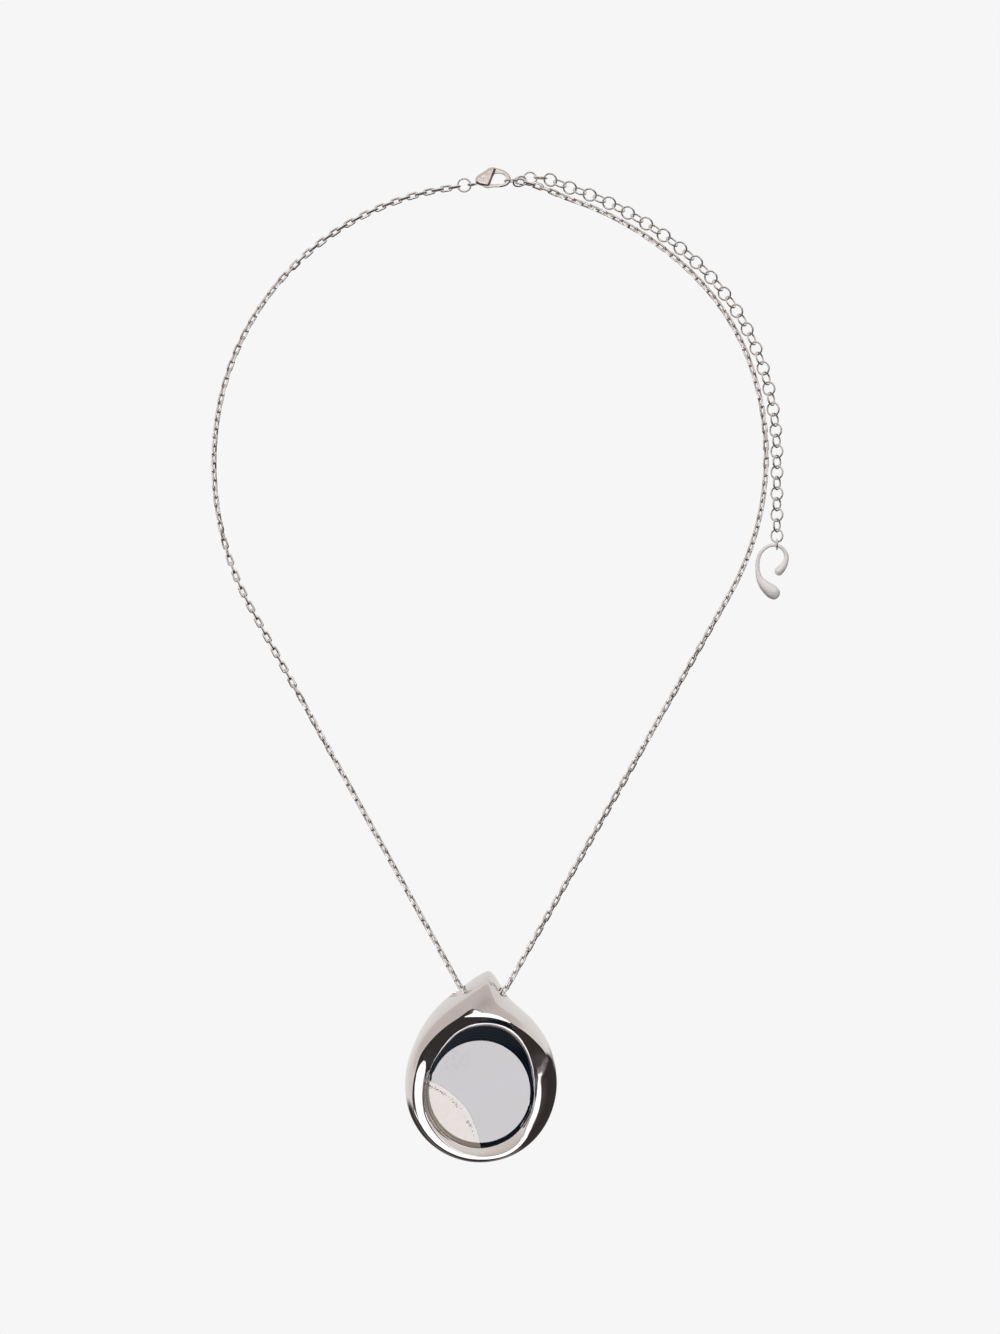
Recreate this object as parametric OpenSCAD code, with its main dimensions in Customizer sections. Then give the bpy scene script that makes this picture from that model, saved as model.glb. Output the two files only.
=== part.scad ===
// A necklace hanging in its loop: a domed silver drop with an inlaid agate slides on a fine chain
// that closes with a hinged claw and a run of round extender links.
// Origin: top of the loop. +X to the right, +Y to the back, +Z up. Millimetres and degrees.

/* [Loop] */
// Radius of the right half of the loop, round the neck
right_r = 74.5; // [72:0.1:76]
// Radius of the left half of the loop
left_r = 73.8; // [72:0.1:76]
// Depth of the left half's middle below the top
left_drop = 75.3; // [74.5:0.1:76]
// Offset of the left half's middle towards the left
left_shift = 0.6; // [0:0.1:1]
// Heading at which each side starts to straighten
ease_heading = 80; // [70:1:88]
// Lean of the left straight run from the vertical
left_lean = 28.9; // [28:0.1:30]
// Lean of the right straight run from the vertical
right_lean = 29.55; // [28.5:0.1:30.5]
// Inward sag of the right side's upper part
sag_depth = 2; // [0:0.1:2.4]
// Across the chain
chain_d = 1.9; // [1.6:0.05:2]
// Bend of the chain's middle line where it enters the drop
bend_r = 1.6; // [1.3:0.1:2]

/* [Drop] */
// Middle of the ring part, left of the origin
ring_x = -2.6; // [-4:0.1:0]
// Middle of the ring part, above the origin
ring_z = -245.5; // [-250:0.5:-240]
// Shift of the whole drop to the back, so that it hangs upright
hang_shift = 0.2; // [0:0.05:1]
// Front of the flat rim round the stone
rim_y = -2.75; // [-3:0.05:-2.5]
// Width of the flat rim where it is widest
rim_w = 1.2; // [0.9:0.05:1.3]
// Rise of the rim's outer side, per millimetre of its width
rim_tilt = 0.1; // [0:0.02:0.2]
// Height of the crown in front of the rim
crown_rise = 1.9; // [1.6:0.05:2.1]
// Floor of the stone's seat
floor_y = 1.7; // [1.2:0.1:2]
// Flat back
back_y = 3; // [2.8:0.1:3.6]
// Rounding of the back edge
back_round = 0.9; // [0.5:0.1:1.2]

/* [Chain hole] */
// Radius of the hole for the chain
hole_r = 1.4; // [1.3:0.05:1.5]
// Height of the hole's axis
hole_z = -219.5; // [-220:0.1:-219]
// Left mouth of the hole
left_mouth = -7.1; // [-7.4:0.1:-6.8]
// Right mouth of the hole
right_mouth = 3.65; // [3.4:0.05:3.9]
// Half of the angle that each mouth is relieved over, for the swing
relief_half = 60; // [55:1:65]
// Half width of that relief
relief_w = 1.25; // [1.2:0.05:1.35]

/* [Stone] */
// Gap between the stone and its seat
stone_gap = 0.06; // [0.04:0.01:0.1]
// Front of the stone's upright edge
girdle_y = -2.55; // [-2.7:0.05:-2.3]
// Front of the polished table
table_y = -3.7; // [-4:0.05:-3.5]
// Width of the small arris round the table
arris = 0.18; // [0.1:0.02:0.3]

/* [Rings and extender] */
// Middle-line radius of a round link
link_r = 1.75; // [1.7:0.05:1.8]
// Radius of the wire of the round links
wire_r = 0.25; // [0.22:0.01:0.26]
// Clear space between two links that hang in each other
link_gap = 0.15; // [0.12:0.01:0.16]
// Number of round extender links
link_count = 48; // [40:1:50]
// Distance of the extender outside the chain
extender_out = 2.9; // [2.8:0.05:3.2]
// Depth of the extender's first link behind the chain
extender_back = 1.65; // [1.6:0.05:1.7]
// Middle-line radius of the ring in the claw
hook_r = 1.8; // [1.7:0.05:1.9]
// Radius of that ring's wire
hook_wire = 0.2; // [0.16:0.01:0.22]
// Middle of the ring in the claw
hook_x = 5.65; // [5.6:0.05:5.75]
// Height of that ring's middle
hook_z = -0.25; // [-0.35:0.05:-0.15]
// Depth of that ring behind the claw
hook_back = 0.3; // [0.2:0.05:0.35]
// Radius of the ring that holds the charm
charm_ring_r = 1.25; // [1.15:0.05:1.4]

/* [Claw clasp] */
// Left end of the clasp's case
clasp_x = -4.185; // [-4.4:0.05:-4]
// Height of the clasp's tail
clasp_z = -1.32; // [-1.6:0.05:-1]
// Thickness of the case
case_t = 2.4; // [2.2:0.1:2.6]
// Thickness of the hook
hook_t = 1.1; // [1:0.05:1.2]
// Thickness of the lever
lever_t = 0.8; // [0.7:0.05:0.9]
// Space beside the lever
lever_side = 0.1; // [0.08:0.01:0.15]
// Radius of the lever's pin
pin_r = 0.3; // [0.25:0.01:0.32]
// Running clearance round the pin
pin_gap = 0.06; // [0.04:0.01:0.08]
// Reach of the lever from its pin
lever_reach = 3.95; // [3.9:0.01:4]
// Gap between the tips of lever and hook
tip_gap = 0.12; // [0.1:0.01:0.2]

/* [Charm] */
// Radius of the charm's strand where it is thin
charm_thin = 0.46; // [0.42:0.02:0.5]
// Radius of the charm's bowl where it is thick
charm_thick = 1.84; // [1.6:0.04:1.92]

/* [Hidden] */
$fn = 48;
tube_sides = 8;
neck_steps = 17;
ease_steps = 9;
bend_steps = 4;
join_gap = 0.1;
relief_in = 0.4;
relief_out = 7;
relief_step = 15;
hole_reach = 24;
end_gap = 0.2;
silver = [0.78, 0.76, 0.75];
bright_silver = [0.88, 0.87, 0.87];
navy = [0.1, 0.14, 0.2];

// Oval of the stone's table about the middle of the ring: across, up, half width, half height.
table_oval = [-0.05, -0.09, 13.46, 13.7];
// Steps of the stone's domed bevel: share of the way in, bulge, share of its height.
bevel_rows = [[0.3, 0.08, 0.36], [0.65, 0.1, 0.71]];
arris_out = 0.6;

// The frame's crown round the ring, from the bottom over the right side and the peak.
// Its front climbs from the rim to a flat shelf and turns up or down to a crest.
// Heights are shares of the crown's rise.
angle_col = 0;
seat_col = 1;
rim_col = 2;
inner_r_col = 3;
inner_up_col = 4;
shelf_r_col = 5;
shelf_up_col = 6;
crest_r_col = 7;
crest_up_col = 8;
soft_inner_col = 9;
soft_crest_col = 10;
crown_rows = [
    // angle, seat_r, share of rim_w, inner_r, up, shelf_r, up, crest_r, up, soft inner and crest turns
    [-90, 15.39, 0.21, 17.4, 0.526, 18.24, 0.553, 18.44, 0.532, 0.6, 0.9],
    [-69, 15.17, 0.21, 17.58, 0.526, 18.42, 0.553, 18.63, 0.532, 0.6, 0.9],
    [-59, 15.09, 0.21, 17.38, 0.489, 18.22, 0.516, 18.48, 0.495, 0.6, 0.9],
    [-49, 14.93, 0.18, 16.8, 0.421, 17.79, 0.447, 18.05, 0.426, 0.6, 0.9],
    [-44, 14.85, 0.17, 16.35, 0.368, 17.44, 0.4, 17.74, 0.379, 0.6, 0.9],
    [-39, 14.77, 0.15, 15.6, 0.279, 17.08, 0.332, 17.38, 0.311, 0.6, 0.9],
    [-29, 14.67, 0.12, 15.03, 0.147, 16.57, 0.205, 16.87, 0.184, 0.5, 0.9],
    [-19, 14.57, 0.12, 14.95, 0.095, 16.34, 0.142, 16.64, 0.126, 0.5, 0.9],
    [-9, 14.47, 0.15, 15.11, 0.089, 16.21, 0.111, 16.51, 0.095, 0.5, 0.9],
    [1, 14.43, 0.21, 15.32, 0.089, 16.17, 0.1, 16.47, 0.084, 0.4, 0.9],
    [7, 14.46, 0.25, 15.61, 0.089, 16.26, 0.1, 16.61, 0.074, 0.3, 0.9],
    [11, 14.53, 0.29, 15.93, 0.105, 16.38, 0.113, 16.93, 0.079, 0.3, 0.9],
    [14, 14.57, 0.32, 16.05, 0.132, 16.55, 0.153, 17.65, 0.132, 0.3, 0.9],
    [17, 14.68, 0.35, 16.07, 0.142, 16.87, 0.195, 18.47, 0.216, 0.3, 0.8],
    [21, 14.88, 0.4, 16.2, 0.168, 17.5, 0.289, 19.5, 0.368, 0.3, 0.6],
    [25, 15.05, 0.46, 16.42, 0.142, 18.33, 0.395, 20.14, 0.553, 0.2, 0.2],
    [29, 15.22, 0.5, 19.4, 0.526, 19.98, 0.612, 20.3, 0.658, 0, 0],
    [35, 15.55, 0.62, 19.45, 0.589, 19.96, 0.685, 20.23, 0.737, 0, 0],
    [41, 15.92, 0.75, 19.43, 0.653, 19.86, 0.759, 20.08, 0.816, 0, 0],
    [51, 16.56, 0.88, 19.53, 0.703, 19.84, 0.817, 20.01, 0.879, 0, 0],
    [62, 17.24, 0.92, 19.73, 0.737, 19.95, 0.857, 20.08, 0.921, 0, 0],
    [67, 17.45, 0.83, 20.05, 0.921, 20.29, 0.921, 20.39, 0.916, 0.1, 0.2],
    [70, 17.55, 0.79, 20.06, 0.921, 20.61, 0.921, 20.75, 0.911, 0.1, 0.3],
    [80, 17.56, 0.71, 20.08, 0.921, 21.07, 0.921, 21.27, 0.9, 0.1, 0.4],
    [90, 17.37, 0.67, 20.08, 0.895, 21.12, 0.895, 21.47, 0.879, 0.1, 0.4],
    [94, 17.27, 0.65, 20.12, 0.868, 21.01, 0.868, 21.97, 0.895, 0.1, 0.2],
    [97, 17.16, 0.62, 20.21, 0.847, 20.91, 0.847, 22.18, 1.005, 0.1, 0],
    [101, 17.01, 0.6, 20.35, 0.826, 20.64, 0.826, 21.48, 1.005, 0.1, 0],
    [104, 16.81, 0.58, 20.28, 0.8, 20.73, 0.93, 20.97, 1, 0, 0],
    [107, 16.65, 0.55, 19.93, 0.796, 20.35, 0.925, 20.58, 0.995, 0, 0],
    [111, 16.44, 0.53, 19.62, 0.787, 20.02, 0.915, 20.24, 0.984, 0, 0],
    [119, 15.82, 0.5, 19.05, 0.758, 19.47, 0.881, 19.7, 0.947, 0, 0],
    [129, 15.19, 0.38, 18.51, 0.695, 18.98, 0.808, 19.23, 0.868, 0, 0],
    [139, 14.8, 0.25, 18.2, 0.611, 18.7, 0.71, 18.96, 0.763, 0, 0],
    [147, 14.64, 0.18, 18.04, 0.56, 18.55, 0.651, 18.83, 0.7, 0, 0],
    [151, 14.58, 0.15, 16.87, 0.332, 17.42, 0.347, 18.69, 0.655, 0.1, 0],
    [155, 14.53, 0.12, 16.1, 0.289, 17.59, 0.342, 18.49, 0.605, 0.2, 0],
    [159, 14.51, 0.12, 15.67, 0.279, 17.72, 0.353, 18.32, 0.558, 0.3, 0],
    [167, 14.56, 0.12, 15.27, 0.289, 17.76, 0.384, 18.16, 0.5, 0.3, 0],
    [179, 14.7, 0.12, 15.18, 0.316, 17.72, 0.405, 18.21, 0.489, 0.3, 0],
    [187, 14.75, 0.12, 15.32, 0.342, 17.75, 0.426, 18.39, 0.516, 0.4, 0],
    [194, 14.82, 0.12, 15.51, 0.379, 17.84, 0.453, 18.5, 0.521, 0.5, 0.1],
    [200, 14.84, 0.12, 15.66, 0.411, 17.99, 0.479, 18.48, 0.516, 0.5, 0.4],
    [209, 14.94, 0.15, 15.89, 0.447, 18.07, 0.516, 18.37, 0.505, 0.5, 0.8],
    [219, 15.05, 0.17, 16.12, 0.479, 18.15, 0.547, 18.42, 0.526, 0.6, 0.9],
    [234, 15.19, 0.18, 16.58, 0.505, 18.16, 0.558, 18.44, 0.537, 0.6, 0.9],
    [250, 15.31, 0.2, 17.07, 0.521, 18.17, 0.563, 18.43, 0.542, 0.6, 0.9]
];

// The frame's two outer rails. The ridge is the shoulder where the front turns down to the flank.
// The edge is the silhouette.
ridge_r_col = 1;
edge_r_col = 2;
ridge_y_col = 3;
edge_y_col = 4;
soft_col = 5;
rail_rows = [
    // angle, ridge_r, edge_r, ridge_y, edge_y, soft
    [-90, 19.15, 19.6, -2.6, -0.6, 0.9],
    [-45, 19, 19.85, -2.3, -0.4, 0.9],
    [-15, 19, 20.2, -2, -0.1, 0.9],
    [10, 19.5, 20.9, -1.9, 0.3, 0.9],
    [16, 20.1, 21.15, -2.3, 0.4, 0.85],
    [22, 20.75, 21.4, -2.9, 0.5, 0.8],
    [38, 21, 22.4, -3.4, 0.9, 0.7],
    [54, 21.4, 23.5, -3.6, 1.1, 0.5],
    [66, 22.3, 24.6, -3.75, 1.3, 0.4],
    [74, 23, 26.2, -3.8, 1.4, 0.35],
    [80, 24.4, 29.1, -3.7, 1.5, 0.35],
    [83, 26.4, 30.9, -3.35, 1.5, 0.35],
    [86, 28.9, 31.9, -2.85, 1.5, 0.35],
    [92, 27.2, 30.3, -3.2, 1.5, 0.35],
    [100, 25.3, 28, -3.6, 1.4, 0.4],
    [112, 23.4, 25.9, -3.6, 1.3, 0.4],
    [128, 21.9, 23.6, -3.5, 1.1, 0.5],
    [146, 20.7, 21.7, -3.25, 0.7, 0.7],
    [165, 19.6, 20.7, -2.8, 0.3, 0.85],
    [180, 19.2, 20.3, -2.5, 0.1, 0.9],
    [215, 19.1, 19.95, -2.4, -0.4, 0.9]
];
rim_steps = 3;
shelf_steps = 3;
crest_steps = 2;
flank_steps = 5;
back_steps = 3;
edge_pull = 0.9;
back_pull = 0.8;
peak_from = 66;
peak_to = 112;
peak_step = 2;
round_count = 78;
round_step = (360 - peak_to + peak_from) / round_count;
section_angles = concat(
    [for (a = [peak_from:peak_step:peak_to - peak_step]) a],
    [for (k = [0:round_count - 1]) peak_to + k * round_step]
);

// A table's column at an angle, smooth all the way round.
function row_value(rows, i, col) =
    let (n = len(rows), turns = floor(i / n))
    rows[i - n * turns][col] + (col == angle_col ? 360 * turns : 0);
function row_slope(rows, i, col) =
    (row_value(rows, i + 1, col) - row_value(rows, i - 1, col)) /
    (row_value(rows, i + 1, angle_col) - row_value(rows, i - 1, angle_col));
function hermite(t, v0, v1, s0, s1) =
    v0 * (2 * t ^ 3 - 3 * t ^ 2 + 1) + s0 * (t ^ 3 - 2 * t ^ 2 + t) +
    v1 * (3 * t ^ 2 - 2 * t ^ 3) + s1 * (t ^ 3 - t ^ 2);
function row_at(rows, angle, col) =
    let (
        a = angle >= 270 ? angle - 360 : angle,
        i = [
            for (k = [0:len(rows) - 1])
                if (a >= row_value(rows, k, angle_col) && a < row_value(rows, k + 1, angle_col)) k
        ][0],
        a0 = row_value(rows, i, angle_col),
        w = row_value(rows, i + 1, angle_col) - a0
    )
    hermite(
        (a - a0) / w, row_value(rows, i, col), row_value(rows, i + 1, col),
        w * row_slope(rows, i, col), w * row_slope(rows, i + 1, col)
    );

// Distance from the ring's middle to an oval, along a ray at an angle.
function oval_r(angle, oval) =
    let (
        c = cos(angle) / oval[2], s = sin(angle) / oval[3],
        ex = oval[0] / oval[2], ez = oval[1] / oval[3],
        a = c * c + s * s, b = c * ex + s * ez
    )
    (b + sqrt(b * b - a * (ex * ex + ez * ez - 1))) / a;
function unit(v) = v / norm(v);
function bend_between(p0, p1, d0, d1, k0, k1, steps) =
    let (w = norm(p1 - p0))
    [for (i = [1:steps]) hermite(i / steps, p0, p1, w * k0 * d0, w * k1 * d1)];

function mixed(v0, v1, share) = v0 * (1 - share) + v1 * share;
function crown_point(angle, r_col, up_col) =
    [row_at(crown_rows, angle, r_col), rim_y - crown_rise * row_at(crown_rows, angle, up_col)];

// Half section of the frame at an angle, from the seat's floor over the crest to the back.
function frame_section(angle) =
    let (
        seat = row_at(crown_rows, angle, seat_col),
        width = rim_w * row_at(crown_rows, angle, rim_col),
        rim = [seat + width, rim_y - rim_tilt * width],
        inner = crown_point(angle, inner_r_col, inner_up_col),
        shelf = crown_point(angle, shelf_r_col, shelf_up_col),
        crest = crown_point(angle, crest_r_col, crest_up_col),
        ridge = [row_at(rail_rows, angle, ridge_r_col), row_at(rail_rows, angle, ridge_y_col)],
        edge = [row_at(rail_rows, angle, edge_r_col), row_at(rail_rows, angle, edge_y_col)],
        back = [edge[0] - back_round, back_y],
        soft = row_at(rail_rows, angle, soft_col),
        soft_inner = row_at(crown_rows, angle, soft_inner_col),
        soft_crest = row_at(crown_rows, angle, soft_crest_col),
        slope = unit(inner - rim),
        top = unit(shelf - inner),
        lip = unit(crest - shelf),
        facet = unit(ridge - crest),
        over = unit(facet + unit(edge - ridge)),
        turn_inner = unit(slope + top),
        turn_crest = unit(lip + facet),
        deeper = [0, 1],
        inward = [-1, 0]
    )
    concat(
        [[seat, floor_y], [seat, rim_y], rim],
        bend_between(rim, inner, slope, mixed(slope, turn_inner, soft_inner), 1, 1, rim_steps),
        bend_between(inner, shelf, mixed(top, turn_inner, soft_inner), top, 1, 1, shelf_steps),
        bend_between(shelf, crest, lip, mixed(lip, turn_crest, soft_crest), 1, 1, crest_steps),
        bend_between(crest, ridge, mixed(facet, turn_crest, soft_crest), over, 1, soft, flank_steps),
        bend_between(ridge, edge, over, deeper, soft, edge_pull, flank_steps),
        bend_between(edge, back, deeper, inward, back_pull, back_pull, back_steps)
    );
function on_drop(angle, ry) =
    [ring_x + ry[0] * cos(angle), ry[1] + hang_shift, ring_z + ry[0] * sin(angle)];

// A level of the stone, from its oval edge (share 0) to its round table (share 1).
function stone_level(share, out, y) = [
    for (a = section_angles)
        let (edge = row_at(crown_rows, a, seat_col) - stone_gap, table = oval_r(a, table_oval))
        on_drop(a, [mixed(edge, table, share) + out, y])
];

// A closed skin over loops of points, with a flat cap on the first and the last.
module skin(loops, turned = false) {
    n = len(loops[0]);
    m = len(loops);
    quads = [
        for (i = [0:m - 2], j = [0:n - 1])
            let (k = (j + 1) % n)
            each [
                [i * n + j, i * n + k, (i + 1) * n + k],
                [i * n + j, (i + 1) * n + k, (i + 1) * n + j]
            ]
    ];
    caps = [[for (j = [n - 1:-1:0]) j], [for (j = [0:n - 1]) (m - 1) * n + j]];
    faces = concat(quads, caps);
    polyhedron(
        [for (l = loops) each l],
        turned ? [for (f = faces) [for (j = [len(f) - 1:-1:0]) f[j]]] : faces
    );
}

// One side of the loop, in a frame where x grows away from the middle.
// Each arc is [x, z, radius], and a point at a heading h lies at radius * [sin h, cos h] from it.
function neck_arc(side) = side < 0 ? [left_shift, -left_drop, left_r] : [0, -right_r, right_r];
function run_heading(side) = 90 + (side < 0 ? left_lean : right_lean);
function mouth(side) = side < 0 ? -left_mouth : right_mouth;
function ease_arc(side) =
    let (
        a = neck_arc(side), h = run_heading(side),
        reach = (mouth(side) - a[0]) * sin(h) + (hole_z - a[1]) * cos(h),
        c = cos(h - ease_heading),
        r = (reach - a[2] * c) / (1 - c),
        back = a[2] - r
    )
    [a[0] + back * sin(ease_heading), a[1] + back * cos(ease_heading), r];
function bend_arc(side) =
    [mouth(side) - bend_r * tan((180 - run_heading(side)) / 2), hole_z + bend_r, bend_r];
function on_arc(a, h) = [a[0] + a[2] * sin(h), a[1] + a[2] * cos(h), h];
// The right side sags inwards over its upper part, under the weight of the extender beside it.
sag_in = [6, 12];
sag_out = [28, 40];
function ease(t) = let (c = min(1, max(0, t))) c * c * (3 - 2 * c);
function sag(h) =
    sag_depth * ease((h - sag_in[0]) / sag_in[1]) * (1 - ease((h - sag_out[0]) / sag_out[1]));
function neck_run(side) =
    let (a = neck_arc(side), h0 = start_heading(side))
    [
        for (i = [0:neck_steps])
            let (h = h0 + (ease_heading - h0) * i / neck_steps)
            on_arc([a[0], a[1], a[2] - (side > 0 ? sag(h) : 0)], h)
    ];
function arc_run(a, h0, h1, from, steps) =
    [for (i = [from:steps]) on_arc(a, h0 + (h1 - h0) * i / steps)];
function chain_start(side) =
    side < 0 ? clasp_ring_x() - link_r - wire_r - end_gap
             : hook_x + sqrt(hook_r ^ 2 - hook_back ^ 2) + hook_wire + end_gap;
function start_heading(side) =
    let (a = neck_arc(side)) asin((abs(chain_start(side)) - a[0]) / a[2]);
function hole_middle() = (left_mouth + right_mouth) / 2;
function chain_route(side) =
    let (
        h = run_heading(side),
        run_top = on_arc(ease_arc(side), h),
        run_end = on_arc(bend_arc(side), h)
    )
    concat(
        neck_run(side),
        arc_run(ease_arc(side), ease_heading, h, 1, ease_steps),
        [for (t = [1 / 3, 2 / 3]) run_top * (1 - t) + run_end * t],
        arc_run(bend_arc(side), h, 180, 0, bend_steps),
        [[side * hole_middle() + join_gap / 2, hole_z, 180]]
    );
module chain(side) {
    loops = [
        for (p = chain_route(side)) [
            for (k = [0:tube_sides - 1])
                let (w = (k + 0.5) * 360 / tube_sides, r = chain_d / 2)
                [
                    side * (p[0] + r * cos(w) * sin(p[2])),
                    r * sin(w),
                    p[1] + r * cos(w) * cos(p[2])
                ]
        ]
    ];
    skin(loops, side < 0);
}

// A ring of round wire, lying in the plane of two directions.
module wire_ring(at, along, across, r, w) {
    up = cross(along, across);
    multmatrix([
        [along[0], across[0], up[0], at[0]],
        [along[1], across[1], up[1], at[1]],
        [along[2], across[2], up[2], at[2]],
        [0, 0, 0, 1]
    ])
        rotate_extrude($fn = ring_fn) translate([r, 0]) circle(r = w, $fn = wire_fn);
}

// The extender runs outside the chain, then hangs straight down from the side of the loop.
link_pitch = 2 * link_r - 2 * wire_r - link_gap;
first_link_x = hook_x + sqrt(hook_r ^ 2 - (extender_back - hook_back) ^ 2)
    - hook_wire - wire_r - link_gap + link_r;
extender_r = right_r + extender_out;
extender_a0 = asin(first_link_x / right_r);
lift_length = 9.5;
lift_start = 0.5;
drift_length = 12;
heading_reach = 0.5;
first_rolls = [52, 0, 95];
roll_step = 90;
roll_start = -55;
function extender_point(u) =
    let (
        side_u = (90 - extender_a0) * PI / 180 * extender_r,
        a = extender_a0 + min(u, side_u) / extender_r * 180 / PI,
        out = extender_out * sin(90 * min(1, (u + lift_start) / lift_length)),
        r = right_r + out - sag(a)
    )
    [
        r * sin(a),
        extender_back * (1 - ease(u / drift_length)),
        -right_r + r * cos(a) - max(0, u - side_u)
    ];
function next_link(u) =
    let (
        p = extender_point(u),
        v = u + link_pitch * link_pitch / norm(extender_point(u + link_pitch) - p)
    )
    u + link_pitch * (v - u) / norm(extender_point(v) - p);
function link_runs(n, u = 0) = n == 0 ? [] : concat([u], link_runs(n - 1, next_link(u)));
// The first links are turned so that they clear the end of the chain beside them.
function link_roll(i) = i < len(first_rolls) ? first_rolls[i] : roll_step * i + roll_start;
extender_runs = link_runs(link_count);
last_link_z = extender_point(extender_runs[link_count - 1])[2];
charm_ring_z = last_link_z - link_r + 2 * wire_r + link_gap - charm_ring_r;

// The charm's strand passes through its ring, curls in at one end and swells into a bowl at the other.
// Across and up from where it is held, and the share of its swelling.
charm_line = [
    [-0.35, -7.57, 0.43], [0.61, -6.8, 0.53], [1.66, -5.65, 0.38], [2.36, -4.32, 0.22],
    [2.58, -2.98, 0.14], [2.23, -1.64, 0.08], [1.37, -0.59, 0.03], [0.32, -0.07, 0], [-0.92, 0.12, 0],
    [-2.17, -0.11, 0], [-3.31, -0.78, 0.01], [-4.27, -1.83, 0.03], [-4.88, -3.17, 0.04],
    [-5.19, -4.7, 0.06], [-5.19, -6.23, 0.09], [-4.99, -7.76, 0.2], [-4.5, -9.19, 0.38],
    [-3.5, -10.53, 0.69], [-2.17, -11.73, 0.94], [-1.02, -12.63, 1], [-0.16, -13.3, 0.78],
    [0.51, -13.78, 0.36]
];
charm_slack = 0.06;
charm_hold_z = charm_ring_z - charm_ring_r + wire_r + link_gap + charm_thin + charm_slack;
charm_rings = 84;
charm_sides = 10;
charm_reach = 0.002;
end_length = 0.04;
end_share = 0.06;
function charm_row(t) =
    let (
        last = len(charm_line) - 1,
        i = max(0, min(floor(t * last), last - 1)),
        p = [for (k = [-1:2]) charm_line[max(0, min(last, i + k))]]
    )
    curve_point(p[0], p[1], p[2], p[3], t * last - i);
function charm_wire(t) =
    mixed(charm_thin, charm_thick, charm_row(t)[2]) *
    sqrt(max(end_share, 1 - max(0, 1 - min(t, 1 - t) / end_length) ^ 2));

// Outlines of the clasp, across and up from its tail.
case_outline = [
    [0.3, 0.55], [0.28, 1.5], [0.75, 2.3], [2.5, 3.45], [4.2, 4.5], [5.6, 4.45], [5.45, 3.3],
    [4.65, 1.3], [3.95, -0.35], [3.0, -0.45], [1.6, -0.2], [0.75, 0.15]
];
hook_outline = [
    [4.0, 4.2], [5.2, 4.5], [6.8, 4.25], [8.1, 3.75], [9.2, 2.9], [9.8, 1.7], [9.65, 0.7],
    [9.0, -0.05], [8.2, -0.45], [7.3, -0.66], [6.3, -0.7], [6.3, 0.1], [7.4, 0.1], [8.15, 0.4],
    [8.62, 1.0], [8.66, 1.7], [8.15, 2.45], [7.2, 2.9], [6.2, 3.0], [5.2, 2.8], [4.3, 2.7]
];
lever_outline = [
    [2.0, 0.2], [2.3, -0.45], [3.1, -0.85], [4.0, -0.9], [4.9, -0.72], [6.0, -0.7], [6.9, -0.7],
    [6.9, 0.08], [5.6, 0.02], [4.4, 0.1], [3.5, 0.6], [2.9, 0.98], [2.2, 0.85]
];
lever_room = [[1.75, 0.1], [2.2, -1.2], [6, -1.2], [6, 2.4], [3.4, 2.0], [2.2, 1.35], [1.75, 0.8]];
pin_at = [2.7, 0.32];
outline_steps = 3;
function curve_point(p0, p1, p2, p3, t) =
    hermite(t, p1, p2, (p2 - p0) / 2, (p3 - p1) / 2);
function rounded(points) =
    let (n = len(points))
    [
        for (i = [0:n - 1], k = [0:outline_steps - 1])
            curve_point(
                points[(i + n - 1) % n], points[i], points[(i + 1) % n], points[(i + 2) % n],
                k / outline_steps
            )
    ];
eye_back = 0.97;
eye_r = 0.75;
eye_wire = 0.28;
neck_at = [0.1, 0.1];
neck_r = 0.3;
neck_length = 1;
pin_inset = 0.2;
cut_depth = 4;
tip_room_at = [5.9, -0.4];
tip_room = [1.6, 1.4, cut_depth];
ring_fn = 48;
wire_fn = 24;
reach_fn = 96;
function clasp_ring_x() =
    clasp_x - eye_back - eye_r + eye_wire + link_gap + wire_r - link_r;
clasp_ring_z = -1.45;
module on_clasp() {
    translate([clasp_x, 0, clasp_z]) rotate([90, 0, 0]) children();
}
module slab(points, thickness) {
    linear_extrude(thickness, center = true) polygon(points);
}

// The room that one side of the chain sweeps as the drop swings.
module mouth_relief(side) {
    lean = run_heading(side) - 90;
    w = relief_w / cos(lean);
    swings = concat(
        [[-relief_half, -relief_w]],
        [for (a = [-relief_half:relief_step:relief_half]) [a, 0]],
        [[relief_half, relief_w]]
    );
    corners = [[relief_in, -w], [relief_in, w], [relief_out, w], [relief_out, -w]];
    skin([
        for (s = swings) [
            for (c = corners)
                [
                    side * (mouth(side) + c[0] * tan(lean)) + c[1],
                    c[0] * sin(s[0]) + s[1] * cos(s[0]),
                    hole_z + c[0] * cos(s[0]) - s[1] * sin(s[0])
                ]
        ]
    ]);
}

module pendant_frame() color(silver) {
    middle = hole_middle();
    sections = [for (a = section_angles) frame_section(a)];
    difference() {
        skin([
            for (k = [0:len(sections[0]) - 1])
                [for (i = [0:len(section_angles) - 1]) on_drop(section_angles[i], sections[i][k])]
        ]);
        translate([middle, 0, hole_z]) rotate([0, 90, 0])
            cylinder(r = hole_r, h = hole_reach, center = true);
        for (side = [-1, 1]) mouth_relief(side);
    }
}
module agate_stone() color(navy) {
    rise = table_y + arris - girdle_y;
    skin([
        stone_level(0, 0, floor_y - stone_gap),
        stone_level(0, 0, girdle_y),
        for (b = bevel_rows) stone_level(b[0], b[1], girdle_y + b[2] * rise),
        stone_level(1, arris * arris_out, table_y + arris),
        stone_level(1, 0, table_y)
    ], true);
}
module chain_left() color(silver) chain(-1);
module chain_right() color(silver) chain(1);
module clasp_ring() color(silver)
    wire_ring([clasp_ring_x(), 0, clasp_ring_z], [1, 0, 0], [0, 0, 1], link_r, wire_r);
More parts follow.
